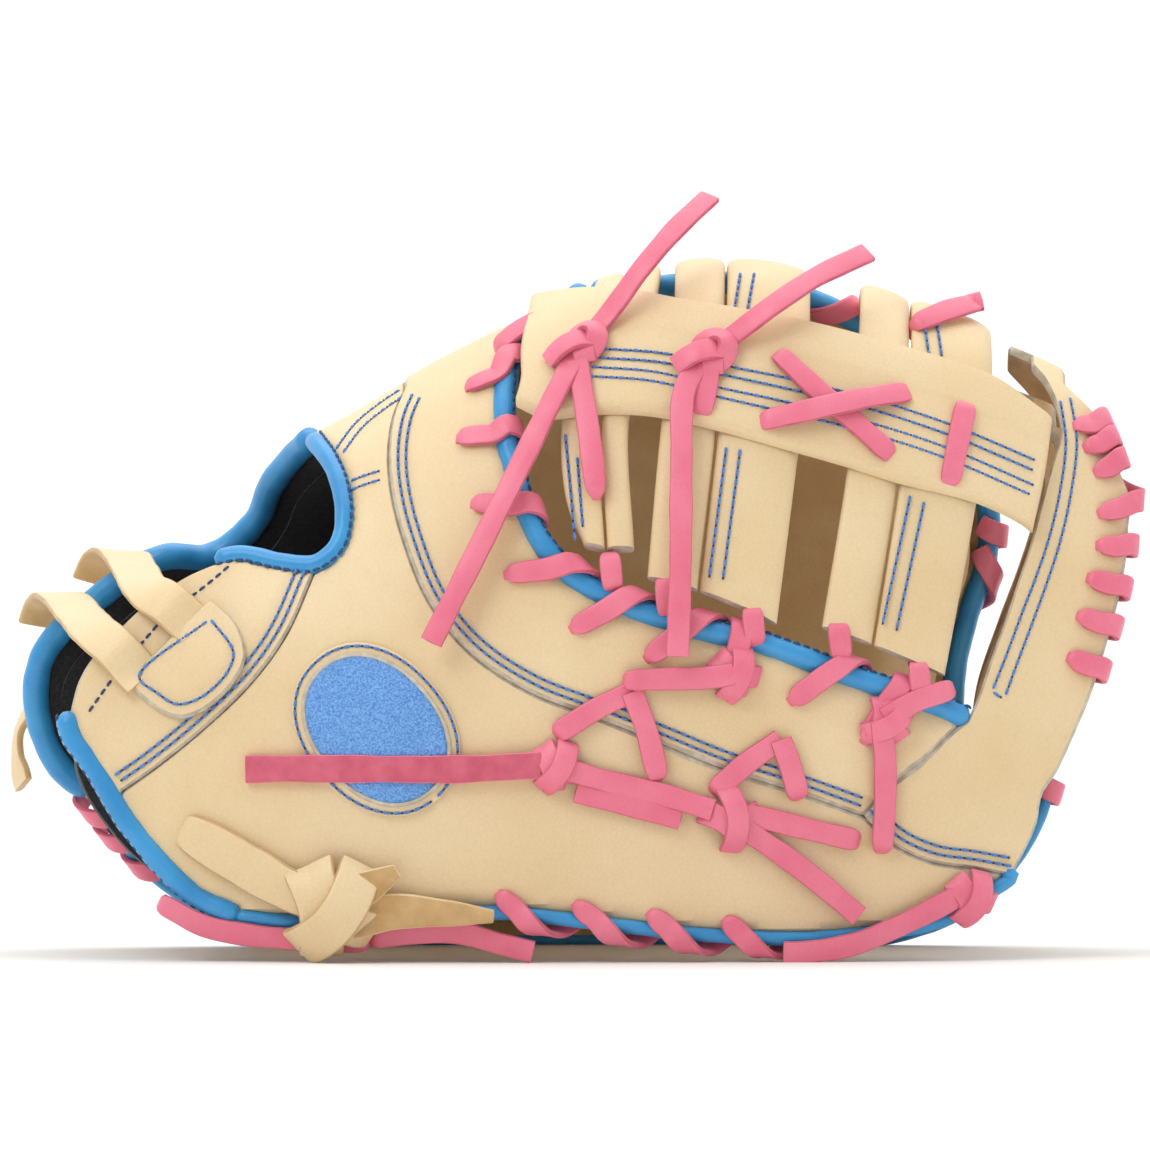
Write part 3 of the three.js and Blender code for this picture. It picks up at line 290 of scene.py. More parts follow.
# %% [markdown]
# The mitt is full-grain cowhide, tanned pale and finished with a little wax. To the eye that gives a satin
# sheen, fine pebbled grain, faint clouds where the hide took the tan unevenly, and small pores. Grain is
# near half a millimetre; it is drawn at one and a half so that it shows at all. Rolled bindings are the
# same leather dyed blue, pulled round a cord, so they crease across. Raw edges and flesh sides are fibrous.


# %% Leathers
def noise(tree, where, scale, detail, **more):
    """The grey value of a noise texture; its scale is one over a size in metres."""
    inputs = {"Vector": where, "Scale": scale, "Detail": detail, **more}
    return node(tree, "ShaderNodeTexNoise", inputs).outputs["Fac"]


def between(tree, grey, *stops):
    """The colour of a ramp with two stops, each a place on the grey scale and a web colour."""
    ramp = node(tree, "ShaderNodeValToRGB", {"Fac": grey})
    for stop, (place, code) in zip(ramp.color_ramp.elements, stops):
        stop.position = place
        stop.color = linear(code)
    return ramp.outputs[0]


def leather(name, light, dark, grain, relief, clouds, stretch=None, **sockets):
    """Cloudy colour from slow noise; height from pebbles (distance to cell edges) plus fine noise."""
    material, tree, shader = surface(name, **sockets)
    place = node(tree, "ShaderNodeTexCoord").outputs["Object"]
    if stretch:
        way = node(tree, "ShaderNodeAttribute", attribute_name="way").outputs["Vector"]
        shape = node(tree, "ShaderNodeMapping", {"Vector": way, "Scale": stretch}).outputs[0]
        crease = noise(tree, shape, 1.0, 3.0)
    else:
        crease = noise(tree, place, 1000 / 9, 4.0, Distortion=1.2)
    slow = noise(tree, place, 1000 / clouds, 4.0)
    pebble = node(
        tree, "ShaderNodeTexVoronoi", {"Vector": place, "Scale": 1000 / grain}, feature="DISTANCE_TO_EDGE"
    ).outputs["Distance"]
    fine = noise(tree, place, 3000 / grain, 2.0)
    colour = between(tree, slow, (0.32, dark), (0.66, light))
    pores = node(
        tree, "ShaderNodeMapRange", {"Value": pebble, "From Min": 0.0, "From Max": 0.12, "To Min": 0.9}
    )
    tone = node(
        tree, "ShaderNodeMixRGB", {"Fac": 0.55, "Color1": colour, "Color2": pores.outputs[0]},
        blend_type="MULTIPLY",
    )
    tree.links.new(tone.outputs[0], shader.inputs["Base Color"])
    sum_up = node(tree, "ShaderNodeMath", {0: pebble, 1: 0.5, 2: fine}, operation="MULTIPLY_ADD")
    height = node(
        tree, "ShaderNodeMath", {0: crease, 1: 1.6, 2: sum_up.outputs[0]}, operation="MULTIPLY_ADD"
    )
    bump = node(
        tree, "ShaderNodeBump", {"Height": height.outputs[0], "Strength": 0.5, "Distance": relief / 1000}
    )
    tree.links.new(bump.outputs[0], shader.inputs["Normal"])
    return material


cowhide = leather(
    "cowhide, grain side", "#ecd3a8", "#e4c899", 1.5, 0.11, 42, Roughness=0.46, Coat_Weight=0.05
)
# The palm is the same cowhide painted darker and warmer: painted shade of the pocket's inside, seen between
# the web bars.
shaded_palm_hide = leather("cowhide, palm side, darkened as painted shade", "#e3c798", "#d3ae7b", 1.6, 0.14, 30, Roughness=0.5)
# The flesh side is napped: rough, a shade darker and warmer, with a soft edge glow.
suede = leather("cowhide, flesh side", "#d8b480", "#c29a63", 0.9, 0.3, 9, Roughness=0.9, Sheen_Weight=0.3)
# A cut edge shows grey-brown fibres between two pale skins.
raw_edge = leather("cowhide, cut edge", "#d6ccb9", "#b8ac98", 0.8, 0.2, 3, Roughness=0.85)
binding = leather(
    "rolled binding, dyed cowhide", "#3d9fdb", "#2c8ccb", 1.3, 0.12, 20, stretch=(0.55, 0.12, 1),
    Roughness=0.38, Coat_Weight=0.12,
)
# Rawhide lace: the grain side is smooth and waxy with cross creases, the flesh side and edges are fibrous.
rawhide = leather(
    "rawhide lace, grain side", "#ef7f97", "#e76e88", 1.1, 0.1, 16, stretch=(0.5, 0.12, 1), Roughness=0.42,
    Coat_Weight=0.08,
)
rawhide_flesh = leather(
    "rawhide lace, flesh side", "#d9687e", "#c9566d", 0.8, 0.2, 5, stretch=(0.35, 0.5, 1), Roughness=0.85,
    Sheen_Weight=0.25,
)
print("leathers", [m.name for m in bpy.data.materials if "hide" in m.name or "binding" in m.name])

# %% [markdown]
# The lining is brushed black knit: it swallows light and only its nap catches some at the edge. Thread is
# bonded polyester, slightly shiny, with the twist of its plies. Embroidery is rayon in short fill stitches
# of half a millimetre, so that it looks stippled.


# %% Lining, thread and embroidery
def fibre(name, light, dark, size, relief, **sockets):
    """Colour and height from one noise as fine as the fibres."""
    material, tree, shader = surface(name, **sockets)
    place = node(tree, "ShaderNodeTexCoord").outputs["Object"]
    fuzz = noise(tree, place, 1000 / size, 3.0)
    colour = between(tree, fuzz, (0.34, dark), (0.66, light))
    bump = node(tree, "ShaderNodeBump", {"Height": fuzz, "Strength": 0.6, "Distance": relief / 1000})
    tree.links.new(colour, shader.inputs["Base Color"])
    tree.links.new(bump.outputs[0], shader.inputs["Normal"])
    return material


knit = fibre("brushed knit lining", "#26262a", "#0b0b0d", 1.1, 0.3, Roughness=0.95, Sheen_Weight=0.35)
thread = fibre("bonded polyester thread, blue", "#5f95dc", "#3b6dbb", 0.5, 0.1, Roughness=0.5)
# The navy also colours short capsules in the stitch holes: painted shade of the holes.
navy_thread_and_hole_shade = fibre("navy thread, also painted stitch-hole shade", "#33527f", "#1d3358", 0.5, 0.1, Roughness=0.5)
rayon = fibre("rayon embroidery", "#7fb4ee", "#3c7cc8", 0.55, 0.35, Roughness=0.5, Sheen_Weight=0.2)
print("fibres", [m.name for m in bpy.data.materials if "thread" in m.name or "rayon" in m.name])

# %% [markdown]
# A leather panel is cut flat along an outline and then pulled over the form. Here the outline is drawn in
# the side view, turned into (along, angle) coordinates, filled with a fine grid of points, joined into
# triangles and lifted onto the arch twice: outside and inside, with a wall between. A second row of points
# just inside the outline lets the cut edge slope down and show its grey fibres, as a lapped seam does.

# %% Panels
ARC_UNIT = 95  # millimetres of arch for one radian, so that the grid's cells come out nearly square
CUT_EDGE = 0.7
FURROW_DEPTH = 0.38
FURROW_WIDTH = 1.1
BOUND_DEPTH = 2.2


def flat(across, angle):
    """The flat drawing: millimetres along, and angle times the arch's mean radius."""
    return np.stack([along_of(across), np.asarray(angle) * ARC_UNIT], -1)


def traced(line, side, step=5):
    """A table's line as a smooth flat curve; straight jumps to the ridge stay straight."""
    p = curve(line, step) if len(line) > 2 else np.linspace(line[0], line[1], 24)
    return flat(p[:, 0], angle_of(p[:, 0], p[:, 1], side))


def distance_to(points, loop):
    """The least distance from each point to the loop's segments: project, clamp, measure."""
    a, b = loop, np.roll(loop, -1, axis=0)
    run = b - a
    best = np.full(len(points), np.inf)
    for part in np.array_split(np.arange(len(a)), max(1, len(a) // 40)):
        to = points[:, None] - a[part]
        t = np.clip((to * run[part]).sum(-1) / np.maximum((run[part] ** 2).sum(-1), 1e-9), 0, 1)
        best = np.minimum(best, np.linalg.norm(to - t[..., None] * run[part], axis=-1).min(1))
    return best


def inside(points, loop):
    """Even-odd rule: how many of the loop's segments a ray to the right crosses."""
    x, y = points[:, :1], points[:, 1:]
    (ax, ay), (bx, by) = loop.T, np.roll(loop, -1, axis=0).T
    crosses = ((ay > y) != (by > y)) & (x < (bx - ax) * (y - ay) / np.where(by == ay, 1e-9, by - ay) + ax)
    return crosses.sum(1) % 2 == 1


def respaced(loop, gap):
    """The closed loop without doubled points, at an even spacing along straight runs between corners."""
    keep = np.linalg.norm(loop - np.roll(loop, 1, axis=0), axis=1) > 0.05
    loop = loop[keep]
    closed = np.vstack([loop, loop[:1]])
    run = np.r_[0, np.cumsum(np.linalg.norm(np.diff(closed, axis=0), axis=1))]
    at = np.linspace(0, run[-1], int(run[-1] / gap), endpoint=False)
    return np.stack([np.interp(at, run, closed[:, k]) for k in (0, 1)], 1)


def inset(loop, amount):
    """The loop moved inwards by the amount, without the points that come too near another part of it."""
    after = np.roll(loop, -1, axis=0)
    turn = np.sign(((after[:, 0] - loop[:, 0]) * (after[:, 1] + loop[:, 1])).sum())
    run = unit(np.roll(loop, -1, axis=0) - np.roll(loop, 1, axis=0))
    moved = loop + amount * turn * np.stack([run[:, 1], -run[:, 0]], 1)
    return moved[(distance_to(moved, loop) > 0.93 * amount) & inside(moved, loop)]


def unevenness(x, s):
    """Slow ripples, as hand-stretched leather has: three crossing sines of different length, in mm."""
    slow, middling = 0.22 * np.sin(x / 17 + s / 31), 0.16 * np.sin(x / 9.5 - s / 13 + 2)
    return slow + middling + 0.1 * np.sin(s / 6.5 + x / 23)


def to_line(points, line):
    """The least distance from each point to an open line: the line there and back is a closed loop."""
    return distance_to(points, np.vstack([line, line[::-1]]))

# %% [markdown]
# One function makes a panel's skin: it fills the outline, lifts the points, adds the wall and marks each
# face for the grain side, the cut edge, the flesh side or the knit.

# %% One leather panel

def panel(
    name, loop, outer, inner, nodes, hide, gap=2.0, furrows=(), bound=(), lined=None, edge=raw_edge,
    back=suede,
):
    """Grid points inside the outline, an inset row for the cut edge, and the outline itself, all lifted:
    outside to outer, inside to inner, with a wall between them. Furrows dip along stitch lines, bound edges
    dip under their rolls; a lined piece is black up to a place across, outside (0) or inside (1)."""
    loop = respaced(loop, min(gap, 1.6))
    low, high = loop.min(0), loop.max(0)
    x, s = np.meshgrid(np.arange(low[0], high[0], gap), np.arange(low[1], high[1], gap))
    x = x + (gap / 2) * (np.arange(len(x)) % 2)[:, None]
    grid = np.stack([x.ravel(), s.ravel()], 1)
    rim = inset(loop, CUT_EDGE)
    grid = grid[inside(grid, loop)]
    grid = grid[distance_to(grid, loop) > CUT_EDGE + 0.45 * gap]
    points = [Vector(p) for p in np.vstack([loop, rim, grid]).tolist()]
    i = np.arange(len(loop))
    made = delaunay_2d_cdt(points, np.stack([i, np.roll(i, -1)], 1).tolist(), [], 1, 1e-4)
    place = np.array([tuple(p) for p in made[0]])
    tri = np.array([f for f in made[2] if len(f) == 3])
    middle = place[tri].mean(1)
    keep = inside(middle, loop)
    area = np.cross(place[tri[:, 1]] - place[tri[:, 0]], place[tri[:, 2]] - place[tri[:, 0]])
    tri = tri[keep & (np.abs(area) > 1e-7)]
    used, tri = np.unique(tri, return_inverse=True)
    tri, place = tri.reshape(-1, 3), place[used]
    across, angle = place[:, 0] / UNIT + GRID_MIDDLE, place[:, 1] / ARC_UNIT
    depth = distance_to(place, loop)
    top = outer(across, angle) + unevenness(place[:, 0], place[:, 1])
    for line in furrows:
        top = top - FURROW_DEPTH * np.exp(-((to_line(place, line) / FURROW_WIDTH) ** 2))
    low_lift = inner(across, angle)
    for line, radius in bound:
        top = top - BOUND_DEPTH * np.exp(-((to_line(place, line) / (0.8 * radius)) ** 4))
    top = np.maximum(top, low_lift + 0.6)
    slope = np.clip(1 - depth / CUT_EDGE, 0, 1)
    top = top - slope * np.minimum(1.0, 0.45 * (top - low_lift)) - 0.25 * np.exp(-depth / 1.5)
    up, under = by_angle(across, angle, top), by_angle(across, angle, low_lift)
    normal = np.cross(up[tri[:, 1]] - up[tri[:, 0]], up[tri[:, 2]] - up[tri[:, 0]])
    out = by_angle(across, angle, low_lift + 9)[tri].mean(1) - under[tri].mean(1)
    wrong = (normal * out).sum(1) < 0
    tri[wrong] = tri[wrong][:, ::-1]
    sides = np.vstack([tri[:, [0, 1]], tri[:, [1, 2]], tri[:, [2, 0]]])
    lone = np.unique(np.sort(sides, 1), axis=0, return_index=True, return_counts=True)
    rim_edges = sides[lone[1][lone[2] == 1]]
    n = len(place)
    wall = np.stack([rim_edges[:, 1], rim_edges[:, 0], rim_edges[:, 0] + n, rim_edges[:, 1] + n], 1)
    cut = depth[tri].max(1) < CUT_EDGE + 0.25
    marks = np.r_[np.where(cut, 1, 0), np.full(len(tri), 2), np.ones(len(wall), int)]
    materials = [hide, edge, back, knit]
    if lined:
        first = lined[1] * len(tri)
        marks[first : first + len(tri)][across[tri].mean(1) < lined[0]] = 3
        marks[2 * len(tri) :][(across[rim_edges].mean(1) < lined[0]) & (lined[1] == 0)] = 3
    return put(
        name, np.vstack([up, under]), [np.vstack([tri, tri[:, ::-1] + n]), wall], materials,
        nodes, marks, sharp=40,
    )


level = lambda value: lambda across, angle: np.full(np.shape(across), float(value))

# %% [markdown]
# The seams and edges of the back, as short tables on the side view. The thumb back is the lowest layer. The
# wrist panel, the panel beside the web and the tip band lap over it, a millimetre higher, so their cut
# edges show.

# %% Seams and edges
WRIST_ROLL = 3.9
HOLE_ROLL = 2.9
HEEL_ROLL = 3.3
RIM_ROLL = 3.35
EDGE_ROLL = 2.1
KNIT_END = 440
WRIST_EDGE = [(71, 709), (79, 681), (94, 656), (122, 627), (143, 607), (184, 579), (212, 566)]
HOLE_EDGE = [
    (215, 560), (243, 555), (280, 562), (315, 564), (338, 546), (345, 515), (340, 484), (330, 462),
    (318, 447), (311, 440),
]
WRIST_SEAM = [(314, 572), (286, 635), (251, 683), (203, 729), (156, 767), (122, 791)]
HEEL_EDGE = [
    (66, 712), (72, 737), (84, 760), (101, 786), (118, 815), (141, 845), (164, 871), (193, 897),
    (235, 915),
]
ARC_SEAM = [
    (404, 390), (394, 415), (389, 450), (392, 490), (405, 540), (430, 600), (470, 650), (530, 690),
    (600, 717), (650, 737), (720, 766), (800, 792), (862, 815),
]
TIP_SEAM = [(862, 815), (895, 845), (933, 862), (971, 868), (1012, 876)]
BOTTOM_EDGE = [
    (1012, 876), (990, 893), (956, 914), (922, 926), (860, 934), (800, 938), (708, 934), (633, 926),
    (560, 917), (495, 911), (380, 916), (290, 920), (235, 915),
]
THUMB_RIM = [
    (588, 288), (545, 320), (515, 347), (506, 385), (505, 420), (508, 446), (515, 470), (527, 513),
    (542, 542), (567, 570), (594, 588), (632, 606), (661, 616), (705, 629), (747, 637), (799, 655),
    (857, 677), (895, 690), (943, 707), (968, 719),
]
BAND_FOOT = [(862, 815), (892, 783), (921, 761), (951, 732), (968, 719)]
TIP_INNER = [
    (968, 717), (976, 701), (991, 658), (1005, 620), (1019, 578), (1032, 540), (1042, 502), (1053, 463),
    (1062, 435), (1057, 404), (1046, 380), (1034, 366),
]
TIP_OUTER = [
    (1068, 388), (1103, 423), (1112, 444), (1122, 473), (1132, 500), (1130, 521), (1127, 558),
    (1120, 595), (1110, 633), (1092, 692), (1076, 731), (1056, 774), (1042, 795), (1036, 826),
    (1012, 876),
]
FINGER_TIP_SEAM = [(985, 915), (972, 850), (962, 780), (960, 725)]
FINGER_WRIST_EDGE = [
    (311, 440), (303, 447), (288, 462), (267, 490), (255, 520), (232, 546), (204, 562), (161, 562),
    (132, 574), (90, 605), (54, 637), (35, 664), (28, 698), (32, 733), (45, 766), (64, 789), (86, 800),
]
FINGER_HEEL = [(93, 816), (118, 856), (165, 902), (225, 934), (300, 952), (370, 955.5)]
FINGER_BOTTOM = [(370, 955.5), (560, 955.5), (760, 955.5), (900, 952)]
FINGER_TIP = [(900, 952), (985, 915), (1040, 845), (1060, 790)]
FINGER_RIM = [
    (590, 291), (640, 290), (700, 283), (770, 288), (840, 312), (900, 352), (955, 420), (992, 500),
    (994, 560), (976, 620), (962, 680), (960, 725),
]
FINGER_TIP_INNER = [
    (978, 735), (985, 690), (1005, 630), (1024, 578), (1036, 540), (1047, 500), (1052, 450),
    (1040, 400), (1012, 366),
]


def ridge_run(start, end):
    """A straight run along the ridge in the flat drawing, from one place across to another."""
    across = np.linspace(start, end, 40)
    return flat(across, np.full(40, np.pi / 2))


def turned(line):
    """The line from its other end."""
    return list(line)[::-1]


SEAM_OFFSETS = (9, 17)
seam_lines = {
    "wrist": [beside(WRIST_SEAM, a) for a in SEAM_OFFSETS],
    "arc": [beside(ARC_SEAM, -a) for a in SEAM_OFFSETS],
    "tip": [beside(TIP_SEAM, -a) for a in SEAM_OFFSETS],
}
on_flat = lambda line, side: flat(line[:, 0], angle_of(line[:, 0], line[:, 1], side))

# %% [markdown]
# The five leather pieces of the back follow, the lowest layer first. Each outline runs once round its piece
# through the tables, in the order given, and crosses the ridge in straight runs.

# %% The panels of the back
thumb_loop = np.vstack([
    traced(HOLE_EDGE[3:], THUMB), ridge_run(311, 404), traced(ARC_SEAM, THUMB), traced(TIP_SEAM, THUMB),
    traced(BOTTOM_EDGE, THUMB), traced(turned(HEEL_EDGE)[:5], THUMB), traced(turned(WRIST_SEAM), THUMB),
])
rim_of = lambda table, side, radius: (on_flat(curve(table, 6), side), radius)
hole_rim, heel_rim = rim_of(HOLE_EDGE, THUMB, HOLE_ROLL), rim_of(HEEL_EDGE, THUMB, HEEL_ROLL - 0.5)
panel(
    "thumb_back", thumb_loop, level(0), level(-SKIN), ["thumb_back"], cowhide,
    bound=[hole_rim, heel_rim, rim_of(BOTTOM_EDGE, THUMB, EDGE_ROLL)], lined=(400, 1),
)
wrist_loop = np.vstack([
    traced(WRIST_EDGE, THUMB), traced(HOLE_EDGE[:4], THUMB), traced(WRIST_SEAM, THUMB),
    traced(turned(HEEL_EDGE)[4:], THUMB),
])
panel(
    "wrist_panel", wrist_loop, level(STEP), level(STEP - SKIN), ["wrist_panel"], cowhide,
    furrows=[on_flat(line, THUMB) for line in seam_lines["wrist"]],
    bound=[hole_rim, heel_rim], lined=(KNIT_END, 1),
)
web_side_loop = np.vstack([
    ridge_run(404, 404.5)[:2], traced(ARC_SEAM, THUMB), traced(BAND_FOOT, THUMB),
    traced(turned(THUMB_RIM), THUMB), ridge_run(588, 404),
])
panel(
    "web_side_panel", web_side_loop, level(STEP), level(STEP - SKIN), ["web_side_panel"], cowhide,
    furrows=[on_flat(line, THUMB) for line in seam_lines["arc"]],
    bound=[rim_of(THUMB_RIM, THUMB, RIM_ROLL)],
)
finger_loop = np.vstack([
    traced(FINGER_WRIST_EDGE, FINGER), traced(FINGER_HEEL, FINGER), traced(FINGER_BOTTOM, FINGER),
    traced(FINGER_TIP[:2], FINGER), traced(FINGER_TIP_SEAM, FINGER), traced(turned(FINGER_RIM), FINGER),
    ridge_run(590, 311),
])
panel(
    "finger_back", finger_loop, level(0), level(-SKIN), ["finger_back"], cowhide, gap=2.4,
    bound=[rim_of(FINGER_RIM, FINGER, RIM_ROLL), rim_of(FINGER_WRIST_EDGE, FINGER, WRIST_ROLL)],
    lined=(KNIT_END, 1),
)
band_loop = np.vstack([
    traced(TIP_SEAM, THUMB), traced(turned(TIP_OUTER), THUMB), traced(TIP_OUTER[:-2], FINGER),
    traced(turned(FINGER_TIP)[:3], FINGER), traced(FINGER_TIP_SEAM, FINGER),
    traced(FINGER_TIP_INNER, FINGER),
    ridge_run(1012, 1034), traced(turned(TIP_INNER), THUMB), traced(turned(BAND_FOOT), THUMB),
])
panel(
    "tip_band", band_loop, level(STEP), level(STEP - SKIN), ["tip_band"], cowhide,
    furrows=[on_flat(line, THUMB) for line in seam_lines["tip"]],
)

# %% [markdown]
# The palm is the padded side that meets the ball. It follows the back closely at its edges and leaves a
# hand's room between them: a bump of room over the thumb stall, one over the fingers and one along the
# ridge, each a cosine across the arch, faded out near the web's rim. Seen from below it is the pocket.

# %% Palm
HAND_ROOM = 26
PALM_THICKNESS = 4.5
PALM_GAP = SKIN + 1.8 + 3 * CLEARANCE
EDGE_FADE = 85
PALM_HEEL = [
    (120, 560), (92, 640), (79, 678), (72, 742), (84, 790), (106, 832), (133, 868), (172, 900),
    (235, 927),
]


def bump(share, middle):
    """A cosine hump a quarter turn wide on either side of its middle."""
    return np.maximum(0, np.cos((share - middle) * 2 * np.pi)) * (np.abs(share - middle) < 0.25)


def far_from(across, down, line):
    """Distance on the side view's grid from each place to an open line."""
    return to_line(np.stack([across, down], -1), np.asarray(line, float))


def hand_room(across, angle):
    """Millimetres between back and palm: the table's three rooms, each times its bump and the rim's fade."""
    share = (angle + FOOT_ANGLE) / (np.pi + 2 * FOOT_ANGLE)
    down = GRID_FLOOR - by_angle(across, angle, 0)[..., 2] * GRID_HEIGHT / HEIGHT
    thumb_rims, finger_rim = THUMB_RIM + TIP_INNER, FINGER_RIM
    near = np.where(share < 0.5, far_from(across, down, thumb_rims), far_from(across, down, finger_rim))
    fade = np.clip(near / EDGE_FADE, 0, 1)
    fade = fade**2 * (3 - 2 * fade)
    thumb = column("thumb_room", across) * bump(share, 0.25)
    fingers = column("finger_room", across) * bump(share, 0.75)
    return HAND_ROOM * ((thumb + fingers) * fade + column("ridge_room", across) * bump(share, 0.5))


def palm_face(across, angle):
    """The lift of the palm's side towards the hand."""
    return -PALM_GAP - hand_room(across, angle)


def palm_inner(across, angle):
    """The lift of the palm's side towards the ball."""
    return palm_face(across, angle) - PALM_THICKNESS

# %% [markdown]
# The palm is cut in two halves that meet along the ridge. Each outline stays a little inside the back's
# own, and both halves are padded, as the pocket of a mitt is.

# %% Palm halves
PALM_SETBACK = 20
PALM_INSETS = {THUMB: (10, 10), FINGER: (8, 12)}


def towards_middle(line, amount):
    """Each place moved by the amount towards the middle of the grid."""
    p, centre = np.asarray(line, float), np.array([GRID_MIDDLE, GRID_FLOOR - GRID_HEIGHT / 2])
    return p + amount * unit(centre - p)


for side, name in ((THUMB, "palm_thumb"), (FINGER, "palm_finger")):
    low_inset, tip_inset = PALM_INSETS[side]
    if side == THUMB:
        low_run = towards_middle(turned(BOTTOM_EDGE)[1:], low_inset)
        web_run = traced(beside(np.array(turned(THUMB_RIM)), -PALM_SETBACK), side)
        tip_run, inner_run = towards_middle(turned(TIP_OUTER)[1:], tip_inset), TIP_INNER[1:]
        heel_run, tip_across = PALM_HEEL, 1036
    else:
        low_run = np.vstack([
            towards_middle(FINGER_HEEL[1:], low_inset), [(560, 949), (760, 949)],
            towards_middle([(900, 948), *FINGER_TIP[1:]], low_inset),
        ])
        web_run = traced(beside(np.array(turned(FINGER_RIM))[:-1], -PALM_SETBACK), side)
        tip_run, inner_run = towards_middle(turned(TIP_OUTER)[3:], tip_inset), FINGER_TIP_INNER
        heel_run, tip_across = PALM_HEEL[:5], 1014
    loop = np.vstack([
        ridge_run(570, 120), traced(heel_run, side), traced(low_run, side), traced(tip_run, side),
        ridge_run(1058, tip_across), traced(turned(inner_run), side), web_run,
    ])
    piece = panel(
        name, loop, palm_face, palm_inner, [name], shaded_palm_hide, gap=3.0, lined=(KNIT_END, 0),
        back=shaded_palm_hide,
    )

# %% [markdown]
# Only where the back is open, at the wrist and the finger hole, does the black lining show. It is a thin
# skin just under the leather there.

# %% Lining
LINING_THUMB = [
    (98, 708), (112, 670), (140, 634), (185, 600), (215, 590), (250, 580), (320, 590), (358, 560),
    (368, 515), (362, 480), (350, 450),
]
LINING_FINGER = [
    (345, 440), (318, 466), (295, 490), (280, 525), (250, 562), (204, 586), (161, 586), (140, 598),
    (102, 630), (72, 656), (55, 690), (55, 735), (75, 765), (110, 800), (200, 860), (420, 860),
]
lining_loop = np.vstack([
    traced(LINING_THUMB, THUMB), ridge_run(350, 345)[::39], traced(LINING_FINGER, FINGER),
    ridge_run(420, 421)[:1], traced([(420, 560), (330, 700), (200, 770), (140, 780), (108, 750)], THUMB),
])
KNIT = 1.5
under = -SKIN - CLEARANCE
panel(
    "hand_lining", lining_loop, level(under), level(under - KNIT), ["hand_lining"], knit, gap=3.0,
    edge=knit, back=knit,
)

# %% [markdown]
# The web is three bars of doubled leather, each rolled into two soft lobes, a narrow one and a wide one,
# and stitched down the groove between them. A lobe is a flattened tube: a squarish ring carried along two
# lines. The lines are drawn on the side view, cross the ridge and end before the finger rim.

# %% Web bars
BAR_PROUD = 4.2
BAR_THICKNESS = 6
BAR_LINES = [
    [[(612, 240), (584, 330), (562, 425), (566, 500), (584, 546)],
     [(640, 240), (612, 340), (600, 425), (606, 550)],
     [(668, 240), (650, 340), (629, 425), (634, 550)]],
    [[(677, 240), (672, 350), (661, 428), (647, 578)],
     [(728, 240), (724, 350), (716, 440), (698, 591)],
     [(812, 240), (808, 380), (797, 462), (776, 624)]],
    [[(866, 240), (856, 380), (846, 476), (821, 627)],
     [(914, 240), (908, 400), (897, 492), (872, 645)],
     [(993, 240), (991, 420), (975, 512), (944, 676)]],
]
BAR_ENDS = [
    (598, 289), (640, 288), (700, 281), (770, 286), (812, 302), (866, 314), (935, 344), (989, 418),
    (1013, 520),
]


def over_ridge(line, steps):
    """The line on the thumb side up to the ridge, then back down the finger side as far as the bars go."""
    p = curve(turned(line), 3)
    ridge = column("ridge", p[:, 0])
    near = p[p[:, 1] > ridge]
    end = np.interp(p[:, 0], *np.array(BAR_ENDS).T)
    far = p[(p[:, 1] > ridge) & (p[:, 1] < end)][::-1]
    run = np.vstack([
        on_flat(near, THUMB), on_flat(far, FINGER) if len(far) else flat(near[-1:, 0], [np.pi / 2 + 0.03]),
    ])
    at = np.r_[0, np.cumsum(np.linalg.norm(np.diff(run, axis=0), axis=1))]
    even = np.linspace(0, at[-1], steps)
    return np.stack([np.interp(even, at, run[:, k]) for k in (0, 1)], 1)


def lobe(left, right, top, bottom, ring=26):
    """Squarish rings between two lines: a power of the cosine across, a power of the sine for the lift."""
    steps = len(left)
    turn = np.linspace(0, 2 * np.pi, ring, endpoint=False)
    side = 0.5 + 0.5 * np.sign(np.cos(turn)) * np.abs(np.cos(turn)) ** 0.62
    rise = np.sign(np.sin(turn)) * np.abs(np.sin(turn)) ** 0.72
    along = np.arange(steps)[:, None] / (steps - 1)
    place = left[:, None] + (right - left)[:, None] * side[None, :, None]
    middle, half = (top + bottom) / 2, (top - bottom) / 2
    swell = 1 + 0.05 * np.sin(9 * along + 3 * side)
    swell = swell - 0.18 * np.exp(-along * 60) - 0.1 * np.exp(-(1 - along) * 60)
    lift = middle + half * rise * swell
    across, angle = place[..., 0] / UNIT + GRID_MIDDLE, place[..., 1] / ARC_UNIT
    points = by_angle(across, angle, lift).reshape(-1, 3)
    ends = np.array([points[:ring].mean(0), points[-ring:].mean(0)])
    way = [np.repeat(along[:, 0] * 90, ring), np.tile(side * 20, steps), np.zeros(steps * ring)]
    way = np.stack(way, 1)
    return np.vstack([points, ends]), np.vstack([way, way[:2]]), steps, ring


def gathered(parts):
    """Several closed strips in one mesh, their faces shifted past the points before them."""
    points, ways, faces, caps, start = [], [], [], [], 0
    for made, way, steps, ring in parts:
        quads, fans = rings_to_faces(steps, ring, start)
        points.append(made)
        ways.append(way)
        faces.append(quads)
        caps.append(fans)
        start += len(made)
    return np.vstack(points), np.vstack(ways), np.vstack(faces), np.vstack(caps)


def outward(points, quads, caps):
    """Strips whose faces point inwards, as their volume says, are turned round."""
    tri = np.vstack([quads[:, :3], quads[:, [0, 2, 3]], caps])
    volume = (np.cross(points[tri[:, 0]], points[tri[:, 1]]) * points[tri[:, 2]]).sum()
    return (quads, caps) if volume > 0 else (quads[:, ::-1], caps[:, ::-1])


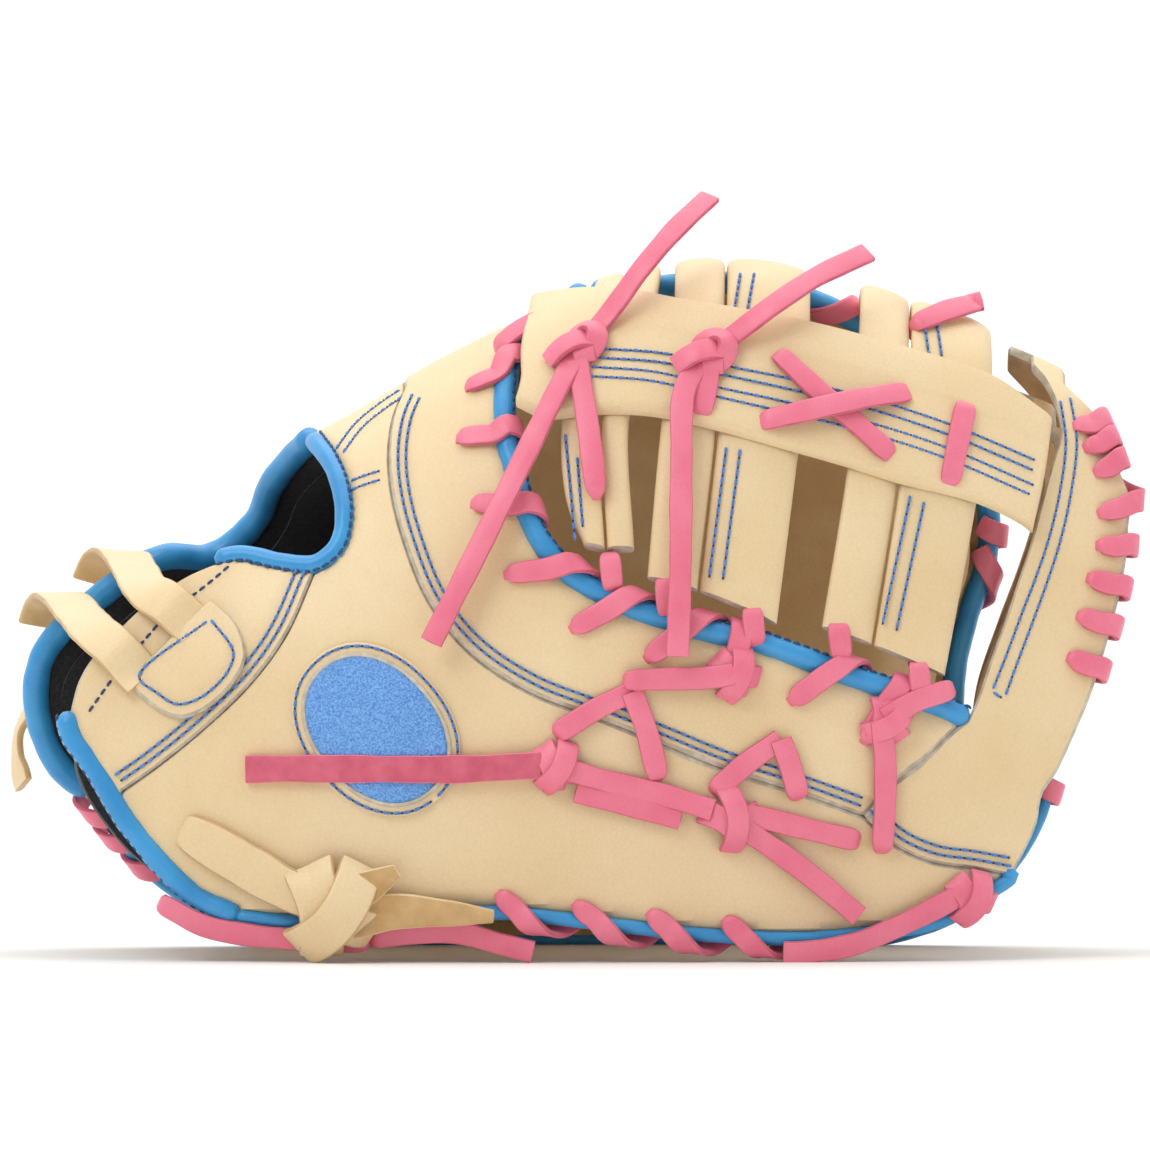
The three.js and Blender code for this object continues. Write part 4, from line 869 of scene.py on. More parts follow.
for n, (left, groove, right) in enumerate(BAR_LINES, 1):
    lines = [over_ridge(line, 70) for line in (left, groove, right)]
    inner = 0.35 * unit(lines[2] - lines[0])
    parts = [
        lobe(lines[0], lines[1] - inner, BAR_PROUD, BAR_PROUD - BAR_THICKNESS),
        lobe(lines[1] + inner, lines[2], BAR_PROUD, BAR_PROUD - BAR_THICKNESS),
    ]
    points, way, quads, caps = gathered(parts)
    quads, caps = outward(points, quads, caps)
    marks = np.r_[np.zeros(len(quads), int), np.ones(len(caps), int)]
    name = f"web_bar_{n}"
    put(name, points, [quads, caps], [cowhide, raw_edge], [name], marks, way, sharp=55)

# %% [markdown]
# The post is a flat strip that runs over all three bars and holds them level. It is a plain panel, proud of
# the bars, with four rows of stitches along it, so it gets furrows where they lie.

# %% Web post
POST_BASE = BAR_PROUD + CLEARANCE
POST_TOP = POST_BASE + 3
POST_LINES = [
    [(531, 319), (562, 312), (590, 309), (625, 310), (680, 318), (728, 325), (810, 342), (866, 356),
     (918, 370), (990, 394), (1053, 435)],
    [(1053, 435), (1046, 480), (1032, 542)],
    [(1032, 542), (1020, 533), (975, 512), (897, 492), (846, 476), (797, 462), (716, 440), (661, 428),
     (628, 425), (590, 426), (545, 430), (515, 418)],
    [(515, 418), (521, 395), (521, 365), (531, 319)],
]
POST_ROWS = [
    [(600, 348), (660, 352), (720, 364), (790, 378), (870, 398), (950, 424), (1040, 462)],
    [(598, 357), (658, 361), (718, 373), (788, 388), (868, 408), (948, 434), (1038, 472)],
    [(590, 366), (655, 371), (716, 386), (786, 401), (866, 421), (946, 447), (1036, 486)],
    [(586, 375), (652, 380), (714, 395), (784, 411), (864, 431), (944, 457), (1034, 496)],
]
post_loop = np.vstack([traced(line, THUMB) for line in POST_LINES])
panel(
    "web_post", post_loop, level(POST_TOP), level(POST_BASE), ["web_post"], cowhide, gap=1.8,
    furrows=[traced(row, THUMB) for row in POST_ROWS], edge=cowhide,
)

# %% [markdown]
# Rolled edges, laces, straps and ties are all strips: one cross-section carried along a line. At each place
# the run is the slope of the line, "out" is the leather's outward direction without its share along the
# run, and the width direction is square to both. Pulled laces twist and bend, so the line and its outward
# directions are tables, and the sweep does the rest.

# %% Strips
CORNERS = 14


def sweep(points, normals, width, thickness, wave=0.0, narrow=(False, False), point=0.0):
    """Rounded rectangles, |cos|^0.3 by |sin|^0.55, on the width and out directions; ends closed by fans.
    Returns the points, the quads and fans, the way in mm, and a mark of 1 where the flesh side shows. An end
    that goes through a hole gets narrow there: the root of one less its square, as a circle ends. A point is
    the share of the width that is lost evenly towards the far end."""
    run = unit(np.gradient(points, axis=0))
    out = unit(normals - (normals * run).sum(-1, keepdims=True) * run)
    wide = np.cross(out, run)
    a = 2 * np.pi * (np.arange(CORNERS) + 0.5) / CORNERS
    u = np.sign(np.cos(a)) * np.abs(np.cos(a)) ** 0.3 * width / 2
    v = np.sign(np.sin(a)) * np.abs(np.sin(a)) ** 0.55 * thickness / 2
    along = np.r_[0, np.cumsum(np.linalg.norm(np.diff(points, axis=0), axis=1))]
    swell = 1 + wave * np.sin(along / 5.1 + points[0].sum()) + wave * 0.6 * np.sin(along / 2.3)
    for wanted, left in zip(narrow, (along, along[-1] - along)):
        if wanted:
            near = np.clip((left - 4.6) / (width * 0.75), 0, 1)
            swell = swell * (0.45 + 0.55 * np.sqrt(1 - (1 - near) ** 2))
    swell = swell * (1 - point * (along / along[-1]) ** 1.5)
    rings = points[:, None] + wide[:, None] * u[:, None] * swell[:, None, None] + out[:, None] * v[:, None]
    n = len(points)
    way = np.stack([np.broadcast_to(along[:, None], (n, CORNERS)), np.broadcast_to(u, (n, CORNERS))], -1)
    way = np.concatenate([way, np.full((n, CORNERS, 1), points[0].sum() * 7.3 % 90)], -1).reshape(-1, 3)
    tips = np.vstack([points[0] - 0.25 * run[0], points[-1] + 0.25 * run[-1]])
    quads, fans = rings_to_faces(n, CORNERS)
    middle = np.sin(a + np.pi / CORNERS)
    marks = np.r_[np.tile(middle < 0.5, n - 1), np.ones(2 * CORNERS, bool)].astype(int)
    ends = np.array([[0, 0, 0], [along[-1], 0, 0]])
    return np.vstack([rings.reshape(-1, 3), tips]), quads, fans, np.vstack([way, ends]), marks


def strips(name, parts, materials, nodes, flip=False):
    """Several swept parts in one mesh: faces are counted on from the points before them."""
    start, points, quads, fans, way, top, caps = 0, [], [], [], [], [], []
    for part in parts:
        points.append(part[0])
        quads.append(part[1] + start)
        fans.append(part[2] + start)
        way.append(part[3])
        top.append(part[4][: len(part[1])])
        caps.append(part[4][len(part[1]) :])
        start += len(part[0])
    marks = np.concatenate(top + caps)
    return put(
        name, np.vstack(points), [np.vstack(quads), np.vstack(fans)], materials, nodes,
        1 - marks if flip else marks, np.vstack(way), sharp=50,
    )


def tucked(points, normals, start, end, bend=2.4, reach=4.0):
    """A strip's line with its ends led through the leather: a quarter circle inwards, then straight on."""
    for last in (False, True):
        if not (end if last else start):
            continue
        if not last:
            points, normals = points[::-1], normals[::-1]
        run, out = unit(points[-1] - points[-2]), unit(normals[-1])
        turn = np.radians([22, 45, 68, 90])[:, None]
        more = points[-1] + bend * (run * np.sin(turn) - out * (1 - np.cos(turn)))
        deep = more[-1] - out * np.array([[reach / 2], [reach]])
        points = np.vstack([points, more, deep])
        lean = out * np.cos(turn) + run * np.sin(turn)
        normals = np.vstack([normals, lean, lean[-1:], lean[-1:]])
        if not last:
            points, normals = points[::-1], normals[::-1]
    return points, normals


def laces(name, parts, nodes=None, flip=False):
    """Rawhide strips in one mesh. They stand for the node of the same name, unless others are named."""
    strips(name, parts, [rawhide, rawhide_flesh], [name] if nodes is None else nodes, flip)


def laid(rows, side, base=0.0, start=True, end=True, width=LACE_WIDTH, thickness=LACE_THICKNESS, point=0.0):
    """A strip that lies on the leather along a table of (across, down, rise), its ends tucked or free."""
    p = curve(rows, 3.0)
    points = on_shell(p[:, 0], p[:, 1], base + thickness / 2 + 0.1 + p[:, 2], side)
    facing = outwards(p[:, 0], np.maximum(p[:, 1], column("ridge", p[:, 0]) + 45), side)
    points, normals = tucked(points, facing, start, end)
    return sweep(points, normals, width, thickness, 0.03, (start, end), point)

# %% [markdown]
# A knot is drawn as a few short strips that bow over one another in the leather's plane. Their ends go
# under steeply, so that only the bows show.

# %% Knots

def in_plane(place, side):
    """The leather's outward direction at a place, and in its plane the directions right and up."""
    out = outwards(*place, side)
    right = unit(np.cross(np.array([0, 0, 1.0]), out))
    return out, right * np.sign(right[0]), unit(np.array([0, 0, 1.0]) - out * out[2])


# Angle, half length, peak, bow and shift aside of each band in a knot.
KNOT_BANDS = [(0.35, 9.0, 5.4, -2.4, 0.4), (1.75, 7.6, 3.6, 2.6, -2.8), (1.2, 7.4, 3.4, -1.8, 3.4)]


def knotted(place, side, base, lean=0.0, size=1.0, width=LACE_WIDTH, thickness=LACE_THICKNESS):
    """An overhand knot pulled tight: three bands bowed over one another. Each runs along its own direction
    in the leather's plane, and rises as the cosine of its run to the power 0.6, so that its ends go steeply
    under. The lean turns all three, the size stretches them."""
    out, right, up = in_plane(place, side)
    centre = on_shell(*place, 0, side)
    s = np.linspace(-1, 1, 25)
    parts = []
    for angle, half, peak, bow, aside in KNOT_BANDS:
        way = np.cos(lean + angle) * right + np.sin(lean + angle) * up
        across = -np.sin(lean + angle) * right + np.cos(lean + angle) * up
        rise = base - 0.6 + thickness * 0.5 + (peak * size + 0.3) * np.cos(s * np.pi / 2) ** 0.6
        swing = aside + bow * (1 - s**2)
        points = centre + size * (half * s[:, None] * way + swing[:, None] * across) + rise[:, None] * out
        normals = out + (0.9 * s * np.abs(s))[:, None] * way
        parts.append(sweep(points, normals, width, thickness))
    return parts


def tight_knot(place, side, base, lean):
    """A small lace knot: a ring of two thirds of a circle that opens to the lower left, a band that comes
    up from there and crosses the ring, and a short band below. Rises are sine humps."""
    out, right, up = in_plane(place, side)
    centre = on_shell(*place, base, side)
    right, up = np.cos(lean) * right + np.sin(lean) * up, np.cos(lean) * up - np.sin(lean) * right
    t = np.linspace(0, 1, 25)[:, None]
    turn = 2.8 - 4.3 * t
    spoke = np.cos(turn) * right + np.sin(turn) * up
    ring = centre + 1.8 * right + 0.6 * up + 4.4 * spoke + (0.9 + 3.5 * np.sin(np.pi * t)) * out
    band = centre + (-8.6 + 13.4 * t) * right + (-5.4 + 8.6 * t - 3.0 * t**2) * up
    band = band + (4.8 * np.sin(np.pi * (0.04 + 0.82 * t)) ** 0.7) * out
    low = centre + (1.4 + t) * right + (0.5 - 7.2 * t) * up + (0.4 + 2.2 * np.sin(np.pi * t)) * out
    return [
        sweep(ring, out + 0.6 * spoke, LACE_WIDTH, LACE_THICKNESS),
        sweep(band, out + (0.7 * t - 0.7) * (right + 0.5 * up), LACE_WIDTH, LACE_THICKNESS),
        sweep(low, out + 0 * t, LACE_WIDTH, LACE_THICKNESS),
    ]


# %% [markdown]
# The rolled edges come next: a strip of dyed cowhide wrapped round a cord and stitched down along one side.
# The cord pulls it into small cross creases, so the radius ripples a little along the way.

# %% Rolled edges
ROLL_SIDES = 20
ROLL_SINK = -1.0


def roll_line(table, side):
    """The middle of a rolled edge: the table's curve, sunk a little into the leather's edge."""
    p = curve(table, 4.0)
    return on_shell(p[:, 0], p[:, 1], ROLL_SINK, side), outwards(p[:, 0], p[:, 1], side)


def rolled(name, line, radius):
    """Rings of radius (1 + small ripples) round the line; nothing of them goes below the floor."""
    points, normals = line
    run = unit(np.gradient(points, axis=0))
    out = unit(normals - (normals * run).sum(-1, keepdims=True) * run)
    wide = np.cross(out, run)
    along = np.r_[0, np.cumsum(np.linalg.norm(np.diff(points, axis=0), axis=1))]
    a = 2 * np.pi * np.arange(ROLL_SIDES) / ROLL_SIDES
    size = radius * (1 + 0.018 * np.sin(along / 1.9) + 0.02 * np.sin(along / 4.3 + 1))[:, None]
    size = size * (1 + 0.012 * np.sin(along[:, None] / 1.1 + 2 * a))
    ends = np.minimum(along, along[-1] - along)
    size = size * np.sqrt(np.clip(1 - (1 - np.minimum(ends / radius, 1)) ** 2, 0.1, 1))[:, None]
    rings = points[:, None] + size[..., None] * (
        wide[:, None] * np.cos(a)[:, None] + out[:, None] * np.sin(a)[:, None]
    )
    n = len(points)
    way = np.stack(np.broadcast_arrays(along[:, None], a * radius, np.full((n, 1), radius * 11)), -1)
    way = np.vstack([way.reshape(-1, 3), [[0, 0, 0], [along[-1], 0, 0]]])
    all_points = np.vstack([rings.reshape(-1, 3), points[:1], points[-1:]])
    all_points[:, 2] = np.maximum(all_points[:, 2], 0)
    quads, fans = rings_to_faces(n, ROLL_SIDES)
    return put(name, all_points, [quads, fans], [binding], [name], way=way)


# The heel's roll hugs the leather five grid steps further in than its edge, past the first two places.
HEEL_ROUTE = HEEL_EDGE[:2] + [(across + 5, down) for across, down in HEEL_EDGE[2:]]
rolls = {
    "wrist_roll": (roll_line(FINGER_WRIST_EDGE, FINGER), WRIST_ROLL),
    "finger_hole_roll": (roll_line(HOLE_EDGE, THUMB), HOLE_ROLL),
    "heel_roll": (roll_line(HEEL_ROUTE, THUMB), HEEL_ROLL),
    "thumb_rim_roll": (roll_line(THUMB_RIM, THUMB), RIM_ROLL),
    "finger_rim_roll": (roll_line(FINGER_RIM, FINGER), RIM_ROLL),
    "thumb_edge_roll": (roll_line([(1001, 872)] + BOTTOM_EDGE, THUMB), EDGE_ROLL),
    "finger_edge_roll": (roll_line(FINGER_HEEL + FINGER_BOTTOM[1:] + FINGER_TIP[1:], FINGER), EDGE_ROLL),
}
for name, (line, radius) in rolls.items():
    rolled(name, line, radius)

# %% [markdown]
# The rims are bound with whipping lace: out through a punched hole, over the leather, round the roll and
# back inside to the next hole. A turn starts at its hole, lies on the leather and then winds round the roll
# as a helix, whose climb is the slope of the turn against the roll.

# %% Whipping laces
THUMB_RIM_TURNS = [
    ((472, 384), (528, 360)), ((464, 436), (522, 432)), ((479, 502), (545, 504)), ((513, 572), (583, 562)),
    ((578, 624), (633, 592)), ((652, 653), (706, 612)), ((733, 684), (742, 617)), ((796, 696), (850, 656)),
    ((868, 735), (905, 672)),
]
FINGER_RIM_TURNS = [
    ((892, 400), (928, 360)), ((930, 470), (985, 440)), ((945, 560), (1008, 545)), ((935, 630), (990, 606)),
]
EDGE_TURNS = [
    ((504, 897), (536, 924)), ((581, 907), (614, 934)), ((655, 916), (684, 941)), ((730, 923), (757, 948)),
]
TIP_TURNS = [
    ((1084, 425), (1112, 414)), ((1094, 446), (1124, 436)), ((1104, 470), (1138, 460)),
    ((1108, 512), (1142, 502)), ((1106, 546), (1138, 548)), ((1096, 580), (1132, 594)),
    ((1086, 618), (1124, 634)), ((1076, 660), (1112, 676)),
]
HEEL_LOOPS = [(92, 817), (112, 843), (140, 872)]
WEB_TURNS = [((866, 360), (862, 322))]
BAND_TURNS = [((1012, 800), (1052, 806))]
TOP_LACE = [(503, 341, 2.2), (520, 328, 3.2), (545, 316, 3.4), (572, 305, 2.4)]


def whipped(hole, over, route, radius, side, base=STEP):
    """One turn: from the hole over the leather, then centre + around (round sin + out cos) + axis climb."""
    hole, over = np.array(hole, float), np.array(over, float)
    seen = lambda points: points[:, [0, 2]]
    ends = seen(on_shell(*np.stack([hole, over], 1), 0, side))
    aim = unit(ends[1] - ends[0])
    to = seen(route) - ends[0]
    off = np.abs(aim[0] * to[:, 1] - aim[1] * to[:, 0]) + 1000 * ((to * aim).sum(1) < 0)
    nearest = int(np.argmin(off))
    centre = route[nearest]
    axis = unit(route[min(nearest + 1, len(route) - 1)] - route[max(nearest - 1, 0)])
    across, down = centre[0] / UNIT + GRID_MIDDLE, GRID_FLOOR - centre[2] * GRID_HEIGHT / HEIGHT
    run = unit(centre - on_shell(*hole, 0, side))
    out = outwards(across, down, side)
    out = unit(out - out.dot(axis) * axis)
    round_way = np.cross(axis, out)
    round_way = round_way * np.sign(round_way.dot(run))
    climb = np.clip(run.dot(axis) / abs(round_way.dot(run)), -1.1, 1.1)
    lean = LACE_WIDTH / 2 * np.sin(np.arctan(climb))
    around = radius + LACE_THICKNESS / 2 + 0.25 + lean**2 / (2 * radius)
    share = np.array([0, 0.35, 0.7])[:, None]
    place = hole + (np.array([across, down]) - hole) * share
    lying = on_shell(place[:, 0], place[:, 1], base + LACE_THICKNESS / 2 + 0.3 + 0.8 * share[:, 0], side)
    turn = np.linspace(0.25, 3.5, 12)[:, None]
    bent = round_way * np.sin(turn) + out * np.cos(turn)
    wound = centre + around * bent + axis * around * climb * turn
    facing = np.vstack([outwards(place[:, 0], place[:, 1], side), bent])
    line = curve(np.hstack([np.vstack([lying, wound]), facing]), 0.7)
    points, normals = tucked(line[:, :3], line[:, 3:], True, False, bend=2.0, reach=3.0)
    return sweep(points, normals, LACE_WIDTH, LACE_THICKNESS, 0.03, (True, False))


tip_outer = np.array(TIP_OUTER[1:], float)
pulled_in = np.array([GRID_MIDDLE, GRID_FLOOR - GRID_HEIGHT / 2]) - tip_outer
tip_curve = curve(tip_outer + 5 * unit(pulled_in), 4.0)
tip_route = on_shell(tip_curve[:, 0], tip_curve[:, 1], -0.5, THUMB)
for name, turns, route, radius, side, base in [
    ("thumb_rim_lace", THUMB_RIM_TURNS, rolls["thumb_rim_roll"][0][0], RIM_ROLL, THUMB, STEP),
    ("finger_rim_lace", FINGER_RIM_TURNS, rolls["finger_rim_roll"][0][0], RIM_ROLL, FINGER, 0),
    ("edge_lace", EDGE_TURNS, rolls["thumb_edge_roll"][0][0], EDGE_ROLL, THUMB, 0),
    ("tip_lace", TIP_TURNS, tip_route, 2.9, THUMB, STEP),
    ("web_lace", WEB_TURNS, rolls["finger_rim_roll"][0][0], RIM_ROLL, FINGER, 0),
    ("band_lace", BAND_TURNS, rolls["finger_edge_roll"][0][0], 2.4, FINGER, STEP),
]:
    parts = [whipped(hole, over, route, radius, side, base) for hole, over in turns]
    laces(name, parts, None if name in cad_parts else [])


def heel_loop(across, down):
    """A lace round the far roll near its end, seen from the inside: most of a circle, tilted against it."""
    turn = np.radians(np.linspace(-75, 195, 28))[:, None]
    centre = on_shell(across, down, ROLL_SINK, FINGER)
    run = unit(on_shell(across + 10, down + 13, ROLL_SINK, FINGER) - centre)
    inwards = -outwards(across, down, FINGER)
    outer = unit(np.cross(inwards, run))
    outer = outer * -np.sign(outer[0])
    bent = outer * np.cos(turn) + inwards * np.sin(turn)
    points = centre + 4.9 * bent + run * 4.2 * np.sin(turn - 0.3)
    return sweep(points, bent, LACE_WIDTH * 0.9, LACE_THICKNESS, 0.03)


laces("top_lace", [laid(TOP_LACE, THUMB, 1.2)], [])
laces("heel_lace", [heel_loop(*place) for place in HEEL_LOOPS], [])

# %% [markdown]
# The other laces lie on the leather: each is a table of places with the height it rises there. Ends go
# through holes, or stay free where a tail hangs loose. A knot is pulled flat where a lace is tied off.

# %% Laces that tie the web
POST_TIES = {
    "post_tie_1": ((579, 347), 0.5, [
        [(579, 347, 0.2), (602, 321, 1), (622, 295, 5), (640, 270, 9), (676, 228, 14), (710, 196, 17)],
        [(577, 352, 0.8), (556, 392, 2.4), (520, 465, 2), (480, 545, 1.5), (432, 640, 1)],
        [(577, 360, 1.5), (584, 400, 1), (590, 440, 0.6), (595, 483, 0.4)],
    ]),
    "post_tie_2": ((706, 354), -0.3, [
        [(706, 354, 0.2), (730, 337, 1), (752, 320, 4.5), (775, 303, 8), (815, 277, 10), (868, 252, 13)],
        [(700, 360, 0.8), (684, 390, 2.2), (681, 460, 2), (680, 560, 1.5), (677, 654, 1)],
        [(708, 360, 1.5), (706, 385, 1), (703, 403, 0.3)],
    ]),
}
for name, (knot_place, lean, tails) in POST_TIES.items():
    parts = [laid(rows, THUMB, POST_TOP - 0.4, False, k == 2) for k, rows in enumerate(tails)]
    parts += tight_knot(knot_place, THUMB, POST_TOP, 0.3 * lean)
    laces(name, parts)
CROSS_LACES = [
    [(783, 357, 0.3), (815, 387, 0.4), (852, 419, 0.4), (884, 448, 0.3)],
    [(770, 418, 0.3), (800, 411, 2.6), (860, 398, 2.6), (902, 392, 0.3)],
]
for k, rows in enumerate(CROSS_LACES):
    name = f"cross_lace_{k + 1}"
    laces(name, [laid(rows, THUMB, POST_TOP)])
STRAIGHT_LACE = [(965, 409, 0.1), (958, 440, 0.2), (951, 474, 0.1)]
laces("straight_lace", [laid(STRAIGHT_LACE, THUMB, POST_TOP)])
TOP_TAIL = [(924, 320, 0.4), (950, 310, 2), (985, 301, 4)]
laces("top_tail", [laid(TOP_TAIL, THUMB, BAR_PROUD, True, False)])

# %% [markdown]
# On the back one long lace lies over the patch with its flesh side out, folded laces cross the seam, and
# ties hold the rim, the tip band and the far edge. Short loops hold the feet of the web bars.

# %% Laces on the back
LONG_LACE_WIDTH = 8
LONG_LACE = [(247, 768, 0.3), (290, 767, 1.0), (370, 767, 1.1), (460, 767, 1.2), (541, 763, 2.6)]
MAIN_LACE = [(563, 766, 3), (610, 780, 1), (660, 792, 1), (712, 808, 3)]
LOWER_LACE = [(576, 789, 1.2), (620, 801, 0.9), (680, 816, 1.2)]
MAIN_TAILS = [
    [(735, 812, 3), (765, 817, 1.2), (800, 826, 1.2), (850, 838, 0.6)],
    [(735, 822, 3), (770, 845, 1.5), (812, 876, 2), (858, 915, 3)],
]
parts = [
    laid(MAIN_LACE, THUMB, 0.4, False, False), laid(LOWER_LACE, THUMB, 0.2, False, False),
    laid(MAIN_TAILS[0], THUMB, 0.4, False, True), laid(MAIN_TAILS[1], THUMB, 0.2, False, False),
    *knotted((556, 764), THUMB, 0.8, 0.7, 0.82), *knotted((728, 817), THUMB, 0.8, 1.3),
]
laces("side_tie", parts)
laces("side_tie_band", [laid(LONG_LACE, THUMB, 0.2, False, False, width=LONG_LACE_WIDTH)], [], flip=True)
CHEVRONS = [
    [(564, 727, 0.6), (598, 706, 0.5), (632, 690, 0.5), (646, 728, 0.5), (656, 768, 0.3)],
    [(720, 784, 0.6), (748, 760, 0.5), (780, 738, 0.5), (790, 766, 0.5), (796, 788, 0.4)],
]
for k, rows in enumerate(CHEVRONS):
    name = f"chevron_lace_{k + 1}"
    folded = [laid(rows[:3], THUMB, STEP, True, False), laid(rows[2:], THUMB, STEP + 0.9, False, True)]
    laces(name, folded)
RIM_TIE = [(634, 678, 2.8), (665, 677, 1.8), (705, 676, 2.6), (733, 672, 4)]
BAND_TIE = [(880, 720, 3.2), (884, 760, 0.7), (884, 800, 0.7), (882, 842, 0.6)]
BAND_LACE = [(884, 718, 3), (915, 700, 2.4), (945, 690, 2.0)]
laces("rim_tie", [laid(RIM_TIE, THUMB, STEP, True, False), *knotted((733, 672), THUMB, STEP, 0.9, 0.85)])
laces("band_tie", [
    laid(BAND_TIE, THUMB, STEP, False, True), laid(BAND_LACE, THUMB, STEP, False, True),
    *knotted((884, 720), THUMB, STEP, 0.2, 0.8),
])
BOTTOM_LACES = [
    [(168, 906, 0.9), (205, 925, 0.7), (250, 934, 0.5), (300, 938, 0.5), (360, 940, 0.5)],
    [(380, 936, 0.3), (420, 931, 0.3), (460, 931, 0.3), (500, 942, 0.7), (533, 950, 1.2)],
]
for k, rows in enumerate(BOTTOM_LACES):
    name = f"bottom_lace_{k + 1}"
    laces(name, [laid(rows, THUMB, 0, True, k == 0)])
TIP_LACE = [(783, 951, 2.6), (800, 951, 3), (850, 944, 3), (905, 922, 3), (955, 897, 3)]
BAR_STUBS = [(610, 570), (665, 595), (752, 625), (838, 640), (918, 680)]
stubs = [laid([(a, d - 10, 3.2), (a + 1, d, 3.4), (a + 2, d + 9, 2.6)], THUMB, 0) for a, d in BAR_STUBS]
laces("bar_loops", stubs, [])
laces("tip_tie", [laid(TIP_LACE, THUMB, 0, False, False), *knotted((968, 897), THUMB, 1.2, 0.8, 0.85)])

# %% [markdown]
# The wrist closes with two pull straps of doubled cowhide, sewn to a D-shaped tab on the thumb side and
# wrapped over the far edge. Wider ties of the same hide hold the heel of the thumb and the little finger.

# %% Straps and ties
STRAP_WIDTH = 13
STRAP_THICKNESS = 2.4
TIE_THICKNESS = 2.6
under_tab = lambda across, down: on_shell(across, down, 2.2, THUMB)[1]
STRAPS = [
    [
        (198, 630, under_tab(198, 630)), (190, 622, under_tab(190, 622)), (170, 604, -49), (150, 592, -42),
        (135, 576, -12), (122, 562, 20), (108, 560, 40), (94, 570, 51), (85, 588, 56),
    ],
    [
        (145, 679, under_tab(145, 679)), (136, 670, under_tab(136, 670)), (116, 648, -49), (98, 634, -42),
        (78, 618, -12), (61, 604, 16), (48, 603, 36), (37, 614, 48), (31, 632, 52),
    ],
]


def hanging(rows, upwards, width, thickness):
    """A strip through the air along a table of (across, down, mm to the far side), facing the way given."""
    p = curve(np.array([(*along_of(a)[None], y, *height_of(d)[None]) for a, d, y in rows]), 1.5)
    return sweep(p, upwards(p), width, thickness, wave=0.015)


over_wrist = lambda p: unit(np.array([-0.2, 0, 0.7]) + np.outer(p[:, 1], [0, 2.5 / FINGER_DEPTH, 0]))
for k, rows in enumerate(STRAPS):
    name = f"pull_strap_{k + 1}"
    strap = hanging(rows, over_wrist, STRAP_WIDTH, STRAP_THICKNESS)
    strips(name, [strap], [cowhide, suede], [name])
TAB = [
    (211, 604), (236, 627), (246, 654), (244, 669), (223, 698), (194, 717), (175, 719), (152, 707),
    (127, 684), (127, 682),
]
TAB_STITCH = [
    (211, 618), (234, 650), (230, 668), (212, 689), (194, 700), (177, 703), (158, 692), (140, 676),
]
tab_loop = np.vstack([traced(TAB, THUMB, 3), traced([(127, 684), (211, 604)], THUMB)])
panel(
    "pull_tab", tab_loop, level(3.75), level(1.35), ["pull_tab"], cowhide, gap=1.4,
    furrows=[on_flat(curve(TAB_STITCH, 4), THUMB)],
)
THUMB_TIE = [(191, 832, 0), (214, 845, 0.1), (250, 866, 0.6), (290, 888, 2.4), (325, 898, 5)]
THUMB_TIE_TAILS = [
    [(345, 895, 5.5), (370, 884, 5), (398, 868, 5.6)],
    [(350, 915, 5), (400, 909, 4), (450, 911, 3.4), (494, 914, 3.6)],
]
tie_parts = [
    laid(THUMB_TIE, THUMB, 0, True, False, STRAP_WIDTH, TIE_THICKNESS),
    *knotted((334, 905), THUMB, 2.0, 0.55, 1.65, STRAP_WIDTH, TIE_THICKNESS),
]
tie_tails = [laid(rows, THUMB, 0, False, False, 12.5, TIE_THICKNESS, 0.7) for rows in THUMB_TIE_TAILS]
strips("thumb_tie", tie_parts, [cowhide, suede], ["thumb_tie"])
strips("thumb_tie_tails", tie_tails, [cowhide, suede], [], flip=True)
LITTLE_FINGER_TIE = [(50, 700, 52), (26, 714, 55), (10, 740, 58), (8, 770, 58), (14, 796, 56)]
outside = lambda p: unit(np.tile([-1.0, -0.15, 0.45], (len(p), 1)))
little_tie = [hanging(LITTLE_FINGER_TIE, outside, STRAP_WIDTH, STRAP_THICKNESS)]
strips("little_finger_tie", little_tie, [cowhide, suede], ["little_finger_tie"])

# %% [markdown]
# An oval patch is sewn to the back, with its long way slanting down to the right. It is a leaf of the same
# hide with an oval window, whose grey cut edge surrounds a field of blue embroidery. The field is plain.

# %% Oval patch
PATCH_TILT = np.radians(48)
PATCH_SIZE = (54, 42)
PATCH_MARGIN = 3.2


def oval(shrink, count=160):
    """A squarish ellipse, |cos|^0.93 by |sin|^0.93, turned by the tilt, on the side view's grid."""
    a = np.linspace(0, 2 * np.pi, count, endpoint=False)
    half_long, half_wide = PATCH_SIZE[0] / 2 - shrink, PATCH_SIZE[1] / 2 - shrink
    u = half_long * np.sign(np.cos(a)) * np.abs(np.cos(a)) ** 0.93
    v = half_wide * np.sign(np.sin(a)) * np.abs(np.sin(a)) ** 0.93
    x, z = u * np.cos(PATCH_TILT) + v * np.sin(PATCH_TILT), -u * np.sin(PATCH_TILT) + v * np.cos(PATCH_TILT)
    return PATCH_PLACE[0] + x / UNIT, PATCH_PLACE[1] - z * GRID_HEIGHT / HEIGHT


def oval_loop(shrink):
    """The oval in the flat drawing of the panels."""
    across, down = oval(shrink)
    return flat(across, angle_of(across, down, THUMB))


panel(
    "oval_patch", oval_loop(0), level(1.5), level(0.2), ["oval_patch"], cowhide, gap=1.6,
    edge=cowhide,
)
panel(
    "embroidered_field", oval_loop(PATCH_MARGIN), level(1.95), level(0.9), ["embroidered_field"],
    rayon, gap=1.4, edge=rayon,
)


